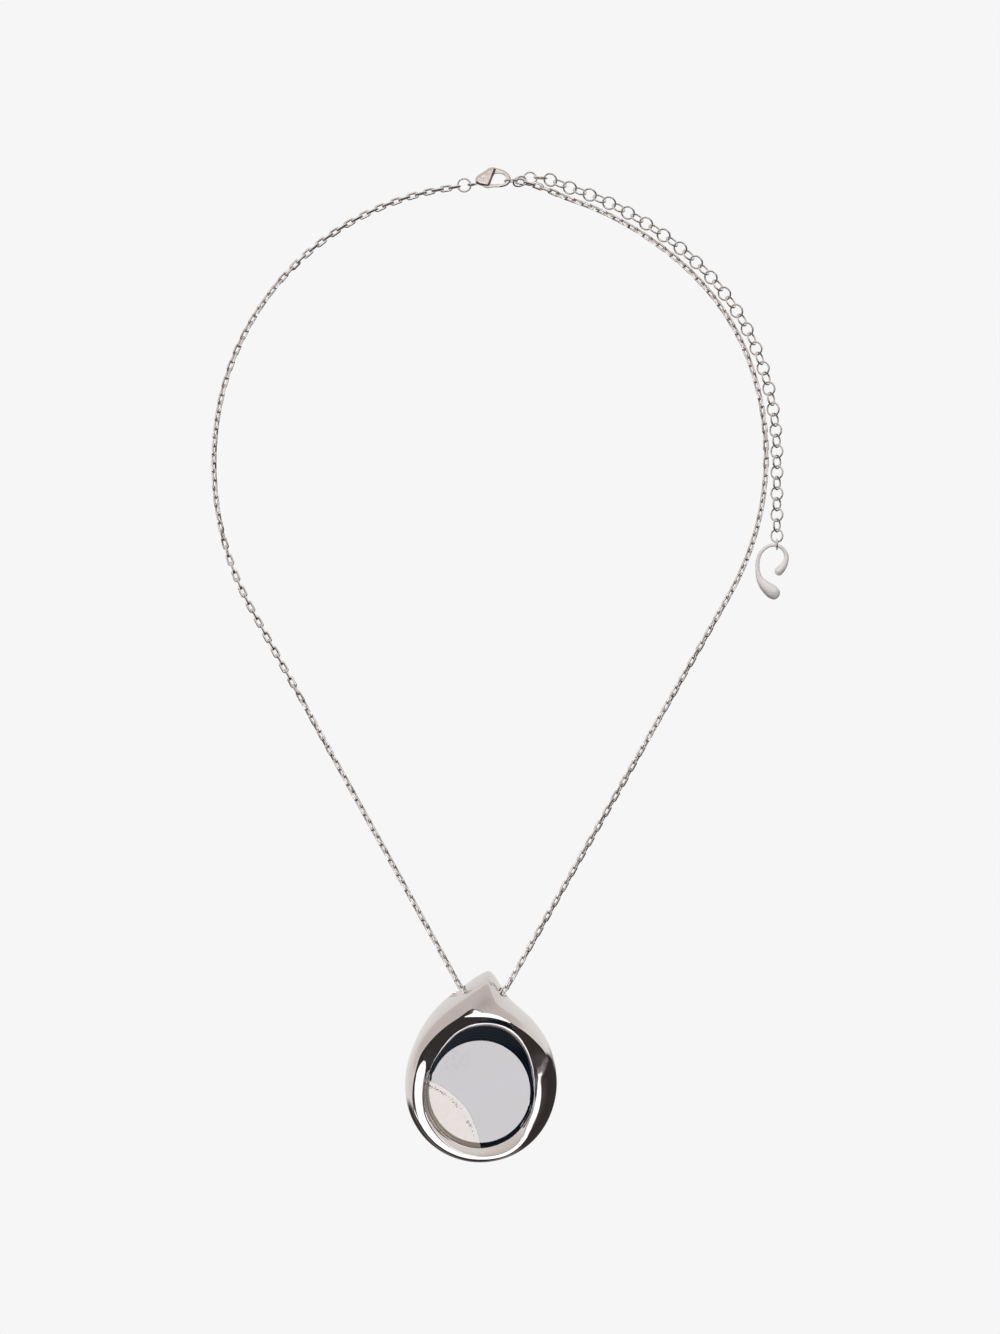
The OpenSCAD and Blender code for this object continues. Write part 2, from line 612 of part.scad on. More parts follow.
module clasp_body() color(silver) {
    difference() {
        union() {
            on_clasp() slab(rounded(case_outline), case_t);
            on_clasp() slab(rounded(hook_outline), hook_t);
            translate([clasp_x - eye_back, 0, clasp_z])
                rotate_extrude($fn = ring_fn) translate([eye_r, 0]) circle(r = eye_wire, $fn = wire_fn);
            on_clasp() translate(neck_at) rotate([0, 90, 0])
                cylinder(r = neck_r, h = neck_length, center = true);
        }
        on_clasp() slab(lever_room, lever_t + 2 * lever_side);
        on_clasp() intersection() {
            translate(pin_at)
                cylinder(r = lever_reach + tip_gap, h = cut_depth, center = true, $fn = reach_fn);
            translate(tip_room_at) cube(tip_room, center = true);
        }
    }
    on_clasp() translate(pin_at) cylinder(r = pin_r, h = case_t - pin_inset, center = true);
}
module clasp_lever() color(silver)
    on_clasp() difference() {
        intersection() {
            slab(rounded(lever_outline), lever_t);
            translate(pin_at)
                cylinder(r = lever_reach, h = cut_depth, center = true, $fn = reach_fn);
        }
        translate(pin_at) cylinder(r = pin_r + pin_gap, h = cut_depth, center = true);
    }
module hook_ring() color(silver)
    wire_ring([hook_x, hook_back, hook_z], [1, 0, 0], [0, 1, 0], hook_r, hook_wire);
module extender_chain() color(silver)
    for (i = [0:link_count - 1]) {
        p = extender_point(extender_runs[i]);
        u = extender_runs[i];
        along = unit(extender_point(u + heading_reach) - extender_point(u - heading_reach));
        out = unit(cross([0, -1, 0], along));
        across = cos(link_roll(i)) * out + sin(link_roll(i)) * cross(along, out);
        wire_ring(p, along, across, link_r, wire_r);
    }
module charm_ring() color(silver)
    wire_ring([extender_r, 0, charm_ring_z], [0, 1, 0], [0, 0, 1], charm_ring_r, wire_r);
module end_charm() color(bright_silver) {
    loops = [
        for (i = [0:charm_rings])
            let (
                t = i / charm_rings,
                p = charm_row(t),
                step = charm_row(t + charm_reach) - charm_row(t - charm_reach),
                d = unit([step[0], step[1]]),
                w = charm_wire(t)
            )
            [
                for (k = [0:charm_sides - 1])
                    let (a = k * 360 / charm_sides)
                    [
                        extender_r + p[0] + w * cos(a) * d[1],
                        w * sin(a),
                        charm_hold_z + p[1] - w * cos(a) * d[0]
                    ]
            ]
    ];
    skin(loops);
}

pendant_frame();
agate_stone();
chain_left();
chain_right();
clasp_ring();
clasp_body();
clasp_lever();
hook_ring();
extender_chain();
charm_ring();
end_charm();
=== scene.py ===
import math

import bmesh
import bpy
from mathutils import Matrix, Vector, noise


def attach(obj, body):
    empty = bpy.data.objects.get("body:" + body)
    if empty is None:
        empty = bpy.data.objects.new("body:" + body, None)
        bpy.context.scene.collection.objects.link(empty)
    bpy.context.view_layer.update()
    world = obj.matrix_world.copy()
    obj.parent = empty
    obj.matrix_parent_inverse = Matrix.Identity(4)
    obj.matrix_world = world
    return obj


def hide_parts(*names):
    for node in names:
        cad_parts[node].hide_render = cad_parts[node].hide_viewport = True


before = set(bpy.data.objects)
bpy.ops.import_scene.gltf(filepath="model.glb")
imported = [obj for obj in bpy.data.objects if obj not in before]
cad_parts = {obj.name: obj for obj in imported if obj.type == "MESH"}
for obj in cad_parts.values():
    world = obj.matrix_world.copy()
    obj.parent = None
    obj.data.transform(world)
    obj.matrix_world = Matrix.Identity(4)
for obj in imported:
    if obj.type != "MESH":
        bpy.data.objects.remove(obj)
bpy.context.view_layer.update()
mm = 0.001


def linearColour(hexText):
    parts = [int(hexText[i:i + 2], 16) / 255 for i in (1, 3, 5)]
    return tuple(c / 12.92 if c <= 0.04045 else ((c + 0.055) / 1.055) ** 2.4 for c in parts) + (1,)


def addNode(tree, kind, settings=None, links=None):
    node = tree.nodes.new(kind)
    for key, value in (settings or {}).items():
        if isinstance(key, int) or key in node.inputs:
            node.inputs[key].default_value = value
        else:
            setattr(node, key, value)
    for key, socket in (links or {}).items():
        tree.links.new(socket, node.inputs[key])
    return node


def newMaterial(name):
    material = bpy.data.materials.new(name)
    material.use_nodes = True
    return material, material.node_tree, material.node_tree.nodes["Principled BSDF"]


def hermite(t, v0, v1, s0, s1):
    return (v0 * (2 * t ** 3 - 3 * t ** 2 + 1) + s0 * (t ** 3 - 2 * t ** 2 + t)
            + v1 * (3 * t ** 2 - 2 * t ** 3) + s1 * (t ** 3 - t ** 2))


def ease(t):
    c = min(1, max(0, t))
    return c * c * (3 - 2 * c)


def between(keys, at):
    for (x0, y0), (x1, y1) in zip(keys, keys[1:]):
        if at <= x1:
            return y0 + (y1 - y0) * ease((at - x0) / (x1 - x0))
    return keys[-1][1]


# Every piece is made in millimetres, so that booleans and remeshing work well,
# and dress() brings it to metres.
def newPiece(name, points, faces):
    mesh = bpy.data.meshes.new(name)
    mesh.from_pydata([tuple(p) for p in points], [], faces)
    bm = bmesh.new()
    bm.from_mesh(mesh)
    bmesh.ops.recalc_face_normals(bm, faces=bm.faces)
    bm.to_mesh(mesh)
    bm.free()
    piece = bpy.data.objects.new(name, mesh)
    bpy.context.scene.collection.objects.link(piece)
    return piece


def tubeFaces(n, m, closed=False, start=0):
    faces = [(start + i * n + j, start + i * n + (j + 1) % n,
              start + (i + 1) % m * n + (j + 1) % n, start + (i + 1) % m * n + j)
             for i in range(m if closed else m - 1) for j in range(n)]
    if not closed:
        faces += [tuple(start + j for j in range(n)), tuple(start + (m - 1) * n + j for j in range(n))]
    return faces


def circle(radius, sides):
    turns = [math.tau * k / sides for k in range(sides)]
    return [(radius * math.cos(a), radius * math.sin(a)) for a in turns]


def skin(name, loops):
    return newPiece(name, [p for loop in loops for p in loop], tubeFaces(len(loops[0]), len(loops)))


def applyModifiers(piece):
    shape = piece.evaluated_get(bpy.context.evaluated_depsgraph_get())
    mesh = bpy.data.meshes.new_from_object(shape)
    piece.modifiers.clear()
    piece.data = mesh


def combine(piece, others, operation):
    for other in others:
        step = piece.modifiers.new("combine", "BOOLEAN")
        step.operation, step.object, step.solver = operation, other, "EXACT"
    applyModifiers(piece)
    for other in others:
        bpy.data.objects.remove(other)


# Overlapping parts melt into one skin, as they do in casting.
def cast(piece, others, size, smooth):
    bm = bmesh.new()
    for part in [piece] + others:
        bm.from_mesh(part.data)
    bm.to_mesh(piece.data)
    bm.free()
    for other in others:
        bpy.data.objects.remove(other)
    step = piece.modifiers.new("remesh", "REMESH")
    step.mode, step.voxel_size = "VOXEL", size
    soft = piece.modifiers.new("soften", "SMOOTH")
    soft.factor, soft.iterations = 0.5, smooth
    applyModifiers(piece)


def dress(piece, material, body, nodes, sharpAngle=None):
    piece.data.transform(Matrix.Scale(mm, 4))
    piece.data.materials.clear()
    piece.data.materials.append(material)
    piece.data.shade_smooth()
    if sharpAngle:
        piece.data.set_sharp_from_angle(angle=math.radians(sharpAngle))
    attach(piece, body)
    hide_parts(*nodes)
    return piece


# Sterling silver, cast or drawn, plated with rhodium and polished by hand: it mirrors the room with a
# faint waviness, and the tumbled and worn pieces blur it. Sizes are in mm, depths are bump strengths.
silverFinishes = {
    "handPolishedRhodium": {"colour": "#eeebe9", "roughness": (0.07, 0.13), "wave": 5, "waveDepth": 0.05,
                            "smudge": 7, "scratch": 0.3, "scratchDepth": 0.012},
    "diamondCutChainSilver": {"colour": "#ece8e5", "roughness": (0.17, 0.3), "wave": 0.8, "waveDepth": 0.1,
                              "smudge": 1.6, "scratch": 0.2, "scratchDepth": 0.02},
    "wornClaspSilver": {"colour": "#dfd6d0", "roughness": (0.24, 0.4), "wave": 1.4, "waveDepth": 0.08,
                        "smudge": 2, "scratch": 0.25, "scratchDepth": 0.05},
    "brightCharmSilver": {"colour": "#f9f8f7", "roughness": (0.62, 0.75), "wave": 2, "waveDepth": 0.05,
                          "smudge": 2.5, "scratch": 0.25, "scratchDepth": 0.02},
}


def makeSilver(name):
    look = silverFinishes[name]
    material, tree, shader = newMaterial(name)
    shader.inputs["Base Color"].default_value = linearColour(look["colour"])
    shader.inputs["Metallic"].default_value = 1
    place = addNode(tree, "ShaderNodeTexCoord").outputs["Object"]
    smooth, dull = look["roughness"]
    smudges, waves, scratches = (
        addNode(tree, "ShaderNodeTexNoise", {"Scale": 1 / (look[size] * mm), "Detail": detail},
                {"Vector": place}).outputs[0]
        for size, detail in (("smudge", 4), ("wave", 1), ("scratch", 3)))
    rough = addNode(tree, "ShaderNodeMapRange",
                    {"From Min": 0.35, "From Max": 0.65, "To Min": smooth, "To Max": dull},
                    {0: smudges}).outputs[0]
    fine = addNode(tree, "ShaderNodeBump", {"Strength": look["scratchDepth"], "Distance": 0.1 * mm},
                   {"Height": scratches}).outputs[0]
    wavy = addNode(tree, "ShaderNodeBump", {"Strength": look["waveDepth"], "Distance": 1 * mm},
                   {"Height": waves, "Normal": fine}).outputs[0]
    tree.links.new(rough, shader.inputs["Roughness"])
    tree.links.new(wavy, shader.inputs["Normal"])
    return material


silvers = {name: makeSilver(name) for name in silverFinishes}
print("silver finishes ready")


drop = {
    "middle": (-2.6, -245.5),
    "hangShift": 0.2,
    "crownRise": 1.9,
    "rimY": -2.75,
    "rimWidth": 1.2,
    "rimRound": 0.09,
    "rimTurns": (0, 0.5, 1.05, math.pi / 2),
    "rimTilt": 0.1,
    "floorY": 1.7,
    "backY": 3,
    "backRound": 0.9,
    "backRing": 0.5,  # one more ring on the flat back keeps its shading flat
    # angle, seat radius, share of the rim's width, then radius and share of the rise for the inner end of the
    # flat shelf, for its outer end and for the crest, and the softness of the turns at the first and the last
    "crown": [
        (-90, 15.39, 0.21, 17.4, 0.526, 18.24, 0.553, 18.44, 0.532, 0.6, 0.9),
        (-69, 15.17, 0.21, 17.58, 0.526, 18.42, 0.553, 18.63, 0.532, 0.6, 0.9),
        (-59, 15.09, 0.21, 17.38, 0.489, 18.22, 0.516, 18.48, 0.495, 0.6, 0.9),
        (-49, 14.93, 0.18, 16.8, 0.421, 17.79, 0.447, 18.05, 0.426, 0.6, 0.9),
        (-44, 14.85, 0.17, 16.35, 0.368, 17.44, 0.4, 17.74, 0.379, 0.6, 0.9),
        (-39, 14.77, 0.15, 15.6, 0.279, 17.08, 0.332, 17.38, 0.311, 0.6, 0.9),
        (-29, 14.67, 0.12, 15.03, 0.147, 16.57, 0.205, 16.87, 0.184, 0.5, 0.9),
        (-19, 14.57, 0.12, 14.95, 0.095, 16.34, 0.142, 16.64, 0.126, 0.5, 0.9),
        (-9, 14.47, 0.15, 15.11, 0.089, 16.21, 0.111, 16.51, 0.095, 0.5, 0.9),
        (1, 14.43, 0.21, 15.32, 0.089, 16.17, 0.1, 16.47, 0.084, 0.4, 0.9),
        (7, 14.46, 0.25, 15.61, 0.089, 16.26, 0.1, 16.61, 0.074, 0.3, 0.9),
        (11, 14.53, 0.29, 15.93, 0.105, 16.38, 0.113, 16.93, 0.079, 0.3, 0.9),
        (14, 14.57, 0.32, 16.05, 0.132, 16.55, 0.153, 17.65, 0.132, 0.3, 0.9),
        (17, 14.68, 0.35, 16.07, 0.142, 16.87, 0.195, 18.47, 0.216, 0.3, 0.8),
        (21, 14.88, 0.4, 16.2, 0.168, 17.5, 0.289, 19.5, 0.368, 0.3, 0.6),
        (25, 15.05, 0.46, 16.42, 0.142, 18.33, 0.395, 20.14, 0.553, 0.2, 0.2),
        (29, 15.22, 0.5, 19.4, 0.526, 19.98, 0.612, 20.3, 0.658, 0, 0),
        (35, 15.55, 0.62, 19.45, 0.589, 19.96, 0.685, 20.23, 0.737, 0, 0),
        (41, 15.92, 0.75, 19.43, 0.653, 19.86, 0.759, 20.08, 0.816, 0, 0),
        (51, 16.56, 0.88, 19.53, 0.703, 19.84, 0.817, 20.01, 0.879, 0, 0),
        (62, 17.24, 0.92, 19.73, 0.737, 19.95, 0.857, 20.08, 0.921, 0, 0),
        (67, 17.45, 0.83, 20.05, 0.921, 20.29, 0.921, 20.39, 0.916, 0.1, 0.2),
        (70, 17.55, 0.79, 20.06, 0.921, 20.61, 0.921, 20.75, 0.911, 0.1, 0.3),
        (80, 17.56, 0.71, 20.08, 0.921, 21.07, 0.921, 21.27, 0.9, 0.1, 0.4),
        (90, 17.37, 0.67, 20.08, 0.895, 21.12, 0.895, 21.47, 0.879, 0.1, 0.4),
        (94, 17.27, 0.65, 20.12, 0.868, 21.01, 0.868, 21.97, 0.895, 0.1, 0.2),
        (97, 17.16, 0.62, 20.21, 0.847, 20.91, 0.847, 22.18, 1.005, 0.1, 0),
        (101, 17.01, 0.6, 20.35, 0.826, 20.64, 0.826, 21.48, 1.005, 0.1, 0),
        (104, 16.81, 0.58, 20.28, 0.8, 20.73, 0.93, 20.97, 1.0, 0, 0),
        (107, 16.65, 0.55, 19.93, 0.796, 20.35, 0.925, 20.58, 0.995, 0, 0),
        (111, 16.44, 0.53, 19.62, 0.787, 20.02, 0.915, 20.24, 0.984, 0, 0),
        (119, 15.82, 0.5, 19.05, 0.758, 19.47, 0.881, 19.7, 0.947, 0, 0),
        (129, 15.19, 0.38, 18.51, 0.695, 18.98, 0.808, 19.23, 0.868, 0, 0),
        (139, 14.8, 0.25, 18.2, 0.611, 18.7, 0.71, 18.96, 0.763, 0, 0),
        (147, 14.64, 0.18, 18.04, 0.56, 18.55, 0.651, 18.83, 0.7, 0, 0),
        (151, 14.58, 0.15, 16.87, 0.332, 17.42, 0.347, 18.69, 0.655, 0.1, 0),
        (155, 14.53, 0.12, 16.1, 0.289, 17.59, 0.342, 18.49, 0.605, 0.2, 0),
        (159, 14.51, 0.12, 15.67, 0.279, 17.72, 0.353, 18.32, 0.558, 0.3, 0),
        (167, 14.56, 0.12, 15.27, 0.289, 17.76, 0.384, 18.16, 0.5, 0.3, 0),
        (179, 14.7, 0.12, 15.18, 0.316, 17.72, 0.405, 18.21, 0.489, 0.3, 0),
        (187, 14.75, 0.12, 15.32, 0.342, 17.75, 0.426, 18.39, 0.516, 0.4, 0),
        (194, 14.82, 0.12, 15.51, 0.379, 17.84, 0.453, 18.5, 0.521, 0.5, 0.1),
        (200, 14.84, 0.12, 15.66, 0.411, 17.99, 0.479, 18.48, 0.516, 0.5, 0.4),
        (209, 14.94, 0.15, 15.89, 0.447, 18.07, 0.516, 18.37, 0.505, 0.5, 0.8),
        (219, 15.05, 0.17, 16.12, 0.479, 18.15, 0.547, 18.42, 0.526, 0.6, 0.9),
        (234, 15.19, 0.18, 16.58, 0.505, 18.16, 0.558, 18.44, 0.537, 0.6, 0.9),
        (250, 15.31, 0.2, 17.07, 0.521, 18.17, 0.563, 18.43, 0.542, 0.6, 0.9),
    ],
    # angle, shoulder radius, outline radius, shoulder depth, outline depth, softness
    "rails": [
        (-90, 19.15, 19.6, -2.6, -0.6, 0.9), (-45, 19.0, 19.85, -2.3, -0.4, 0.9),
        (-15, 19.0, 20.2, -2.0, -0.1, 0.9), (10, 19.5, 20.9, -1.9, 0.3, 0.9),
        (16, 20.1, 21.15, -2.3, 0.4, 0.85), (22, 20.75, 21.4, -2.9, 0.5, 0.8),
        (38, 21.0, 22.4, -3.4, 0.9, 0.7), (54, 21.4, 23.5, -3.6, 1.1, 0.5),
        (66, 22.3, 24.6, -3.75, 1.3, 0.4), (74, 23.0, 26.2, -3.8, 1.4, 0.35),
        (80, 24.4, 29.1, -3.7, 1.5, 0.35), (83, 26.4, 30.9, -3.35, 1.5, 0.35),
        (86, 28.9, 31.9, -2.85, 1.5, 0.35), (92, 27.2, 30.3, -3.2, 1.5, 0.35),
        (100, 25.3, 28.0, -3.6, 1.4, 0.4), (112, 23.4, 25.9, -3.6, 1.3, 0.4),
        (128, 21.9, 23.6, -3.5, 1.1, 0.5), (146, 20.7, 21.7, -3.25, 0.7, 0.7),
        (165, 19.6, 20.7, -2.8, 0.3, 0.85), (180, 19.2, 20.3, -2.5, 0.1, 0.9),
        (215, 19.1, 19.95, -2.4, -0.4, 0.9),
    ],
    # height of the hairline lip between slope and shelf, by angle
    "lip": [(0, 0), (196, 0), (203, 0.03), (308, 0.035), (318, 0), (360, 0)],
    "rimCrease": 0.05,  # length of the straight start of the slope, which keeps the rim's edge crisp
    "edgePull": 0.9,  # how far the flank and the back hold their direction at the silhouette
    "backPull": 0.8,
    "steps": {"slope": 8, "shelf": 14, "lip": 5, "facet": 14, "flank": 14, "back": 8},
    "peak": (66, 112),
    "peakSteps": 100,
    "roundSteps": 280,
    "sharpAngle": 25,
}

# The chain's hole runs through the drop from side to side. Mouths are distances from the loop's middle.
hole = {
    "z": -219.5, "radius": 1.4, "mouths": {-1: 7.1, 1: 3.65}, "run": (-14, 10), "sides": 48,
    "reliefWidth": 1.25, "reliefDepth": 0.4, "swing": 60, "reach": 7,
}

loop = {
    "arcs": {-1: (0.6, -75.3, 73.8), 1: (0, -74.5, 74.5)},  # middle x, middle z, radius
    "lean": {-1: 28.9, 1: 29.55},
    "easeHeading": 80,
    "bendRadius": 1.6,
    "sagDepth": 2,
    "sagIn": (6, 12),  # heading where the sag starts and the degrees that it takes, and the same for its end
    "sagOut": (28, 40),
    "endGap": 0.2,
    "pathSteps": {"neck": 600, "ease": 400, "straight": 300, "bend": 60},
}


def rowValue(rows, i, col):
    return rows[i % len(rows)][col] + (360 * (i // len(rows)) if col == 0 else 0)


# A value of a table's column at an angle, smooth all the way round.
def rail(table, angle, col):
    rows = drop[table]
    a = angle - 360 if angle >= 270 else angle
    i = max(k for k in range(len(rows)) if rowValue(rows, k, 0) <= a + 1e-9)
    angles, values = ([rowValue(rows, k, c) for k in range(i - 1, i + 3)] for c in (0, col))
    width = angles[2] - angles[1]
    s0, s1 = (width * ((values[k + 1] - values[k - 1]) / (angles[k + 1] - angles[k - 1])) for k in (1, 2))
    return hermite((a - angles[1]) / width, values[1], values[2], s0, s1)


def ovalRadius(angle, oval):
    c, s = math.cos(math.radians(angle)) / oval[2], math.sin(math.radians(angle)) / oval[3]
    ex, ez = oval[0] / oval[2], oval[1] / oval[3]
    a, b = c * c + s * s, c * ex + s * ez
    return (b + math.sqrt(b * b - a * (ex * ex + ez * ez - 1))) / a


def bend(p0, p1, d0, d1, k0, k1, steps):
    w = (p1 - p0).length
    return [hermite(i / steps, p0, p1, d0 * (w * k0), d1 * (w * k1)) for i in range(1, steps + 1)]


def frameSection(angle):
    seat, share, innerR, innerRise, shelfR, shelfRise, crestR, crestRise, softInner, softCrest = (
        rail("crown", angle, col) for col in range(1, 11))
    rimWidth, r = drop["rimWidth"] * share, drop["rimRound"]
    rim = Vector((seat + rimWidth, drop["rimY"] - drop["rimTilt"] * (rimWidth - r)))
    inner, shelf, crest = (Vector((radius, drop["rimY"] - drop["crownRise"] * up)) for radius, up in (
        (innerR, innerRise), (shelfR, shelfRise), (crestR, crestRise)))
    ridgeR, edgeR, ridgeY, edgeY, soft = (rail("rails", angle, col) for col in range(1, 6))
    ridge, edge = Vector((ridgeR, ridgeY)), Vector((edgeR, edgeY))
    back = Vector((edgeR - drop["backRound"], drop["backY"]))
    slope, top, lip, facet = ((b - a).normalized() for a, b in (
        (rim, inner), (inner, shelf), (shelf, crest), (crest, ridge)))
    over = (facet + (edge - ridge).normalized()).normalized()
    turnInner, turnCrest = (slope + top).normalized(), (lip + facet).normalized()
    inward, deeper = Vector((-1, 0)), Vector((0, 1))
    points = [Vector((seat, drop["floorY"]))]
    points += [Vector((seat + r * (1 - math.cos(t)), drop["rimY"] + r * (1 - math.sin(t))))
               for t in drop["rimTurns"]]
    points += [rim.lerp(points[-1], 0.1), rim, rim + slope * drop["rimCrease"]]
    steps, edgePull, backPull = drop["steps"], drop["edgePull"], drop["backPull"]
    points += bend(rim, inner, slope, slope.lerp(turnInner, softInner), 1, 1, steps["slope"])
    lipDepth = between(drop["lip"], angle % 360)
    shelfPoints = bend(inner, shelf, top.lerp(turnInner, softInner), top, 1, 1, steps["shelf"])
    shelfPoints[0].y += lipDepth * 0.5
    shelfPoints[1].y += lipDepth
    points += shelfPoints
    points += bend(shelf, crest, lip, lip.lerp(turnCrest, softCrest), 1, 1, steps["lip"])
    points += bend(crest, ridge, facet.lerp(turnCrest, softCrest), over, 1, soft, steps["facet"])
    points += bend(ridge, edge, over, deeper, soft, edgePull, steps["flank"])
    points += bend(edge, back, deeper, inward, backPull, backPull, steps["back"])
    return points + [back + inward * drop["backRing"]]


def onDrop(angle, radius, y):
    a = math.radians(angle)
    x, z = drop["middle"]
    return (x + radius * math.cos(a), y + drop["hangShift"], z + radius * math.sin(a))


def roundDrop():
    start, end = drop["peak"]
    peak = [start + (end - start) * k / drop["peakSteps"] for k in range(drop["peakSteps"])]
    return peak + [end + (360 - end + start) * k / drop["roundSteps"] for k in range(drop["roundSteps"])]


# The room that one side of the chain sweeps at the hole's mouth as the drop swings.
def mouthRelief(side):
    lean = math.radians(loop["lean"][side])
    wide, swing = hole["reliefWidth"], hole["swing"]
    w, near, far = wide / math.cos(lean), hole["reliefDepth"], hole["reach"]
    loops = []
    for turn, shift in [(-swing, -wide)] + [(a, 0) for a in range(-swing, swing + 1, 10)] + [(swing, wide)]:
        s, c = math.sin(math.radians(turn)), math.cos(math.radians(turn))
        loops.append([(side * (hole["mouths"][side] + up * math.tan(lean)) + out, up * s + shift * c,
                       hole["z"] + up * c - shift * s)
                      for up, out in ((near, -w), (near, w), (far, w), (far, -w))])
    return skin("relief", loops)


def makeFrame():
    angles = roundDrop()
    sections = [frameSection(a) for a in angles]
    loops = [[onDrop(a, *s[k]) for a, s in zip(angles, sections)] for k in range(len(sections[0]))]
    piece = skin("teardropFrame", loops)
    ring = circle(hole["radius"], hole["sides"])
    bore = skin("bore", [[(x, y, hole["z"] + z) for y, z in ring] for x in hole["run"]])
    combine(piece, [bore, mouthRelief(-1), mouthRelief(1)], "DIFFERENCE")
    dress(piece, silvers["handPolishedRhodium"], "pendant", ["pendant_frame"],
          drop["sharpAngle"])


makeFrame()
print("teardrop frame ready")


# Banded agate, ground flat on a wheel and polished like glass: navy body, cream patch with a pitted border.
# It mirrors the light in its flat table, so that the table looks pale and only the bevel shows the navy.
agate = {
    "girdleY": -2.55, "tableY": -3.7, "gap": 0.06, "arris": (0.108, 0.18),
    "table": (-0.05, -0.09, 13.46, 13.7),
    "bevelSteps": 20, "dome": 0.28, "sharpAngle": 18,
    "navy": "#070d15", "blueCloud": "#0e1926", "bandLine": "#22323f",
    # the olive colour is painted shade, laid over the cream patch where it runs down the bevel
    "cream": "#f8f5f0", "creamCloud": "#fdfbf8", "border": "#fbfbfa", "pit": "#332c28", "paintedBevelShade": "#7e766b",
    # the patch lies lower left of the line  v = offset - bow * u * u,  in mm from a point raised by 0.6
    "uAxis": (0.643, 0, -0.766), "vAxis": (0.766, 0, 0.643), "offset": -6.25, "bow": 0.025, "raised": 0.6,
    "wander": 1.2, "edgeBlur": (-0.12, 0.1), "borderWidth": 1.1,
    "pitLine": 1.3, "pitReach": 1.5, "pitStart": (0.6, 0.9),  # mm into the patch
    "pitRowShare": 0.35, "pitGroupShare": 0.5, "pitOpen": (1.12, 1.16),
    "tableEdge": (13.55, 13.85),  # from the table's flat to its bevel
    # size of each random pattern in mm, its detail and its roughness
    "patterns": {"wander": (4.55, 5, 0.55), "cloud": (8.33, 3, 0.5), "mottle": (2, 6, 0.5),
                 "pitGroup": (2.86, 2, 0.5), "pit": (0.385, 3, 0.6), "streak": (1.25, 4, 0.5)},
    "bandSpacing": 0.748,
    "tableGloss": 0.5, "bevelGloss": 0.16, "smearGloss": -0.06, "smearAt": (-7, 0, 8), "smearReach": (6.5, 2),
    "polish": 0.03, "pitRoughness": 0.4, "pitDepth": 0.05,
}
colourMix = {"data_type": "RGBA"}


def stoneLevel(angles, share, out, y):
    level = []
    for a in angles:
        edge, table = rail("crown", a, 1) - agate["gap"], ovalRadius(a, agate["table"])
        level.append(onDrop(a, edge * (1 - share) + table * share + out, y))
    return level


# Navy body: soft blue clouds, and faint parallel bands that follow the rim outside the table.
def navyBody(tree, local, offTable, patterns):
    cloudy = addNode(tree, "ShaderNodeMapRange", {"From Min": 0.4, "From Max": 0.7},
                     {0: patterns["cloud"]}).outputs[0]
    navy = addNode(tree, "ShaderNodeMix", {**colourMix, 6: linearColour(agate["navy"]),
                                           7: linearColour(agate["blueCloud"])}, {0: cloudy}).outputs[2]
    bandScale = math.tau / (20 * agate["bandSpacing"])  # at scale 1 the rings are tau / 20 apart
    rings = addNode(tree, "ShaderNodeTexWave",
                    {"wave_type": "RINGS", "rings_direction": "Y", "Scale": bandScale,
                     "Distortion": 1.2, "Detail": 2, "Detail Scale": 0.3}, {"Vector": local}).outputs[1]
    thin = addNode(tree, "ShaderNodeMapRange", {"From Min": 0.86, "From Max": 1, "To Max": 0.45},
                   {0: rings}).outputs[0]
    outer = addNode(tree, "ShaderNodeMath", {"operation": "MULTIPLY"}, {0: thin, 1: offTable}).outputs[0]
    return addNode(tree, "ShaderNodeMix", {**colourMix, 7: linearColour(agate["bandLine"])},
                   {0: outer, 6: navy}).outputs[2]


# A broken row of open pits that runs along the patch's border, a little inside it.
def pitRow(tree, inside, patterns):
    offLine = addNode(tree, "ShaderNodeMath", {"operation": "SUBTRACT", 1: agate["pitLine"]},
                      {0: inside}).outputs[0]
    fromLine = addNode(tree, "ShaderNodeMath", {"operation": "ABSOLUTE"}, {0: offLine}).outputs[0]
    row = addNode(tree, "ShaderNodeMapRange", {"From Min": agate["pitReach"], "From Max": 0},
                  {0: fromLine}).outputs[0]
    depth = patterns["pit"]
    for share, pattern in (("pitRowShare", row), ("pitGroupShare", patterns["pitGroup"])):
        depth = addNode(tree, "ShaderNodeMath", {"operation": "MULTIPLY_ADD", 1: agate[share]},
                        {0: pattern, 2: depth}).outputs[0]
    opened, behind = (
        addNode(tree, "ShaderNodeMapRange", {"From Min": agate[limits][0], "From Max": agate[limits][1]},
                {0: value}).outputs[0] for limits, value in (("pitOpen", depth), ("pitStart", inside)))
    return addNode(tree, "ShaderNodeMath", {"operation": "MULTIPLY"}, {0: behind, 1: opened}).outputs[0]


# Cream patch: mottled, with a paler border, and a painted olive-grey shade where the bevel cuts down through
# it.
def creamPatch(tree, inside, offTable, pits, patterns):
    mottled = addNode(tree, "ShaderNodeMapRange", {"From Min": 0.35, "From Max": 0.65},
                      {0: patterns["mottle"]}).outputs[0]
    cream = addNode(tree, "ShaderNodeMix", {**colourMix, 6: linearColour(agate["cream"]),
                                            7: linearColour(agate["creamCloud"])}, {0: mottled}).outputs[2]
    width = agate["borderWidth"]
    nearEdge = addNode(tree, "ShaderNodeMapRange", {"From Min": width * 1.5, "From Max": width * 0.5},
                       {0: inside}).outputs[0]
    # over the bevel the cream is mixed towards olive: this is painted shade
    for share, colour in ((nearEdge, "border"), (offTable, "paintedBevelShade"), (pits, "pit")):
        cream = addNode(tree, "ShaderNodeMix", {**colourMix, 7: linearColour(agate[colour])},
                        {0: share, 6: cream}).outputs[2]
    return cream


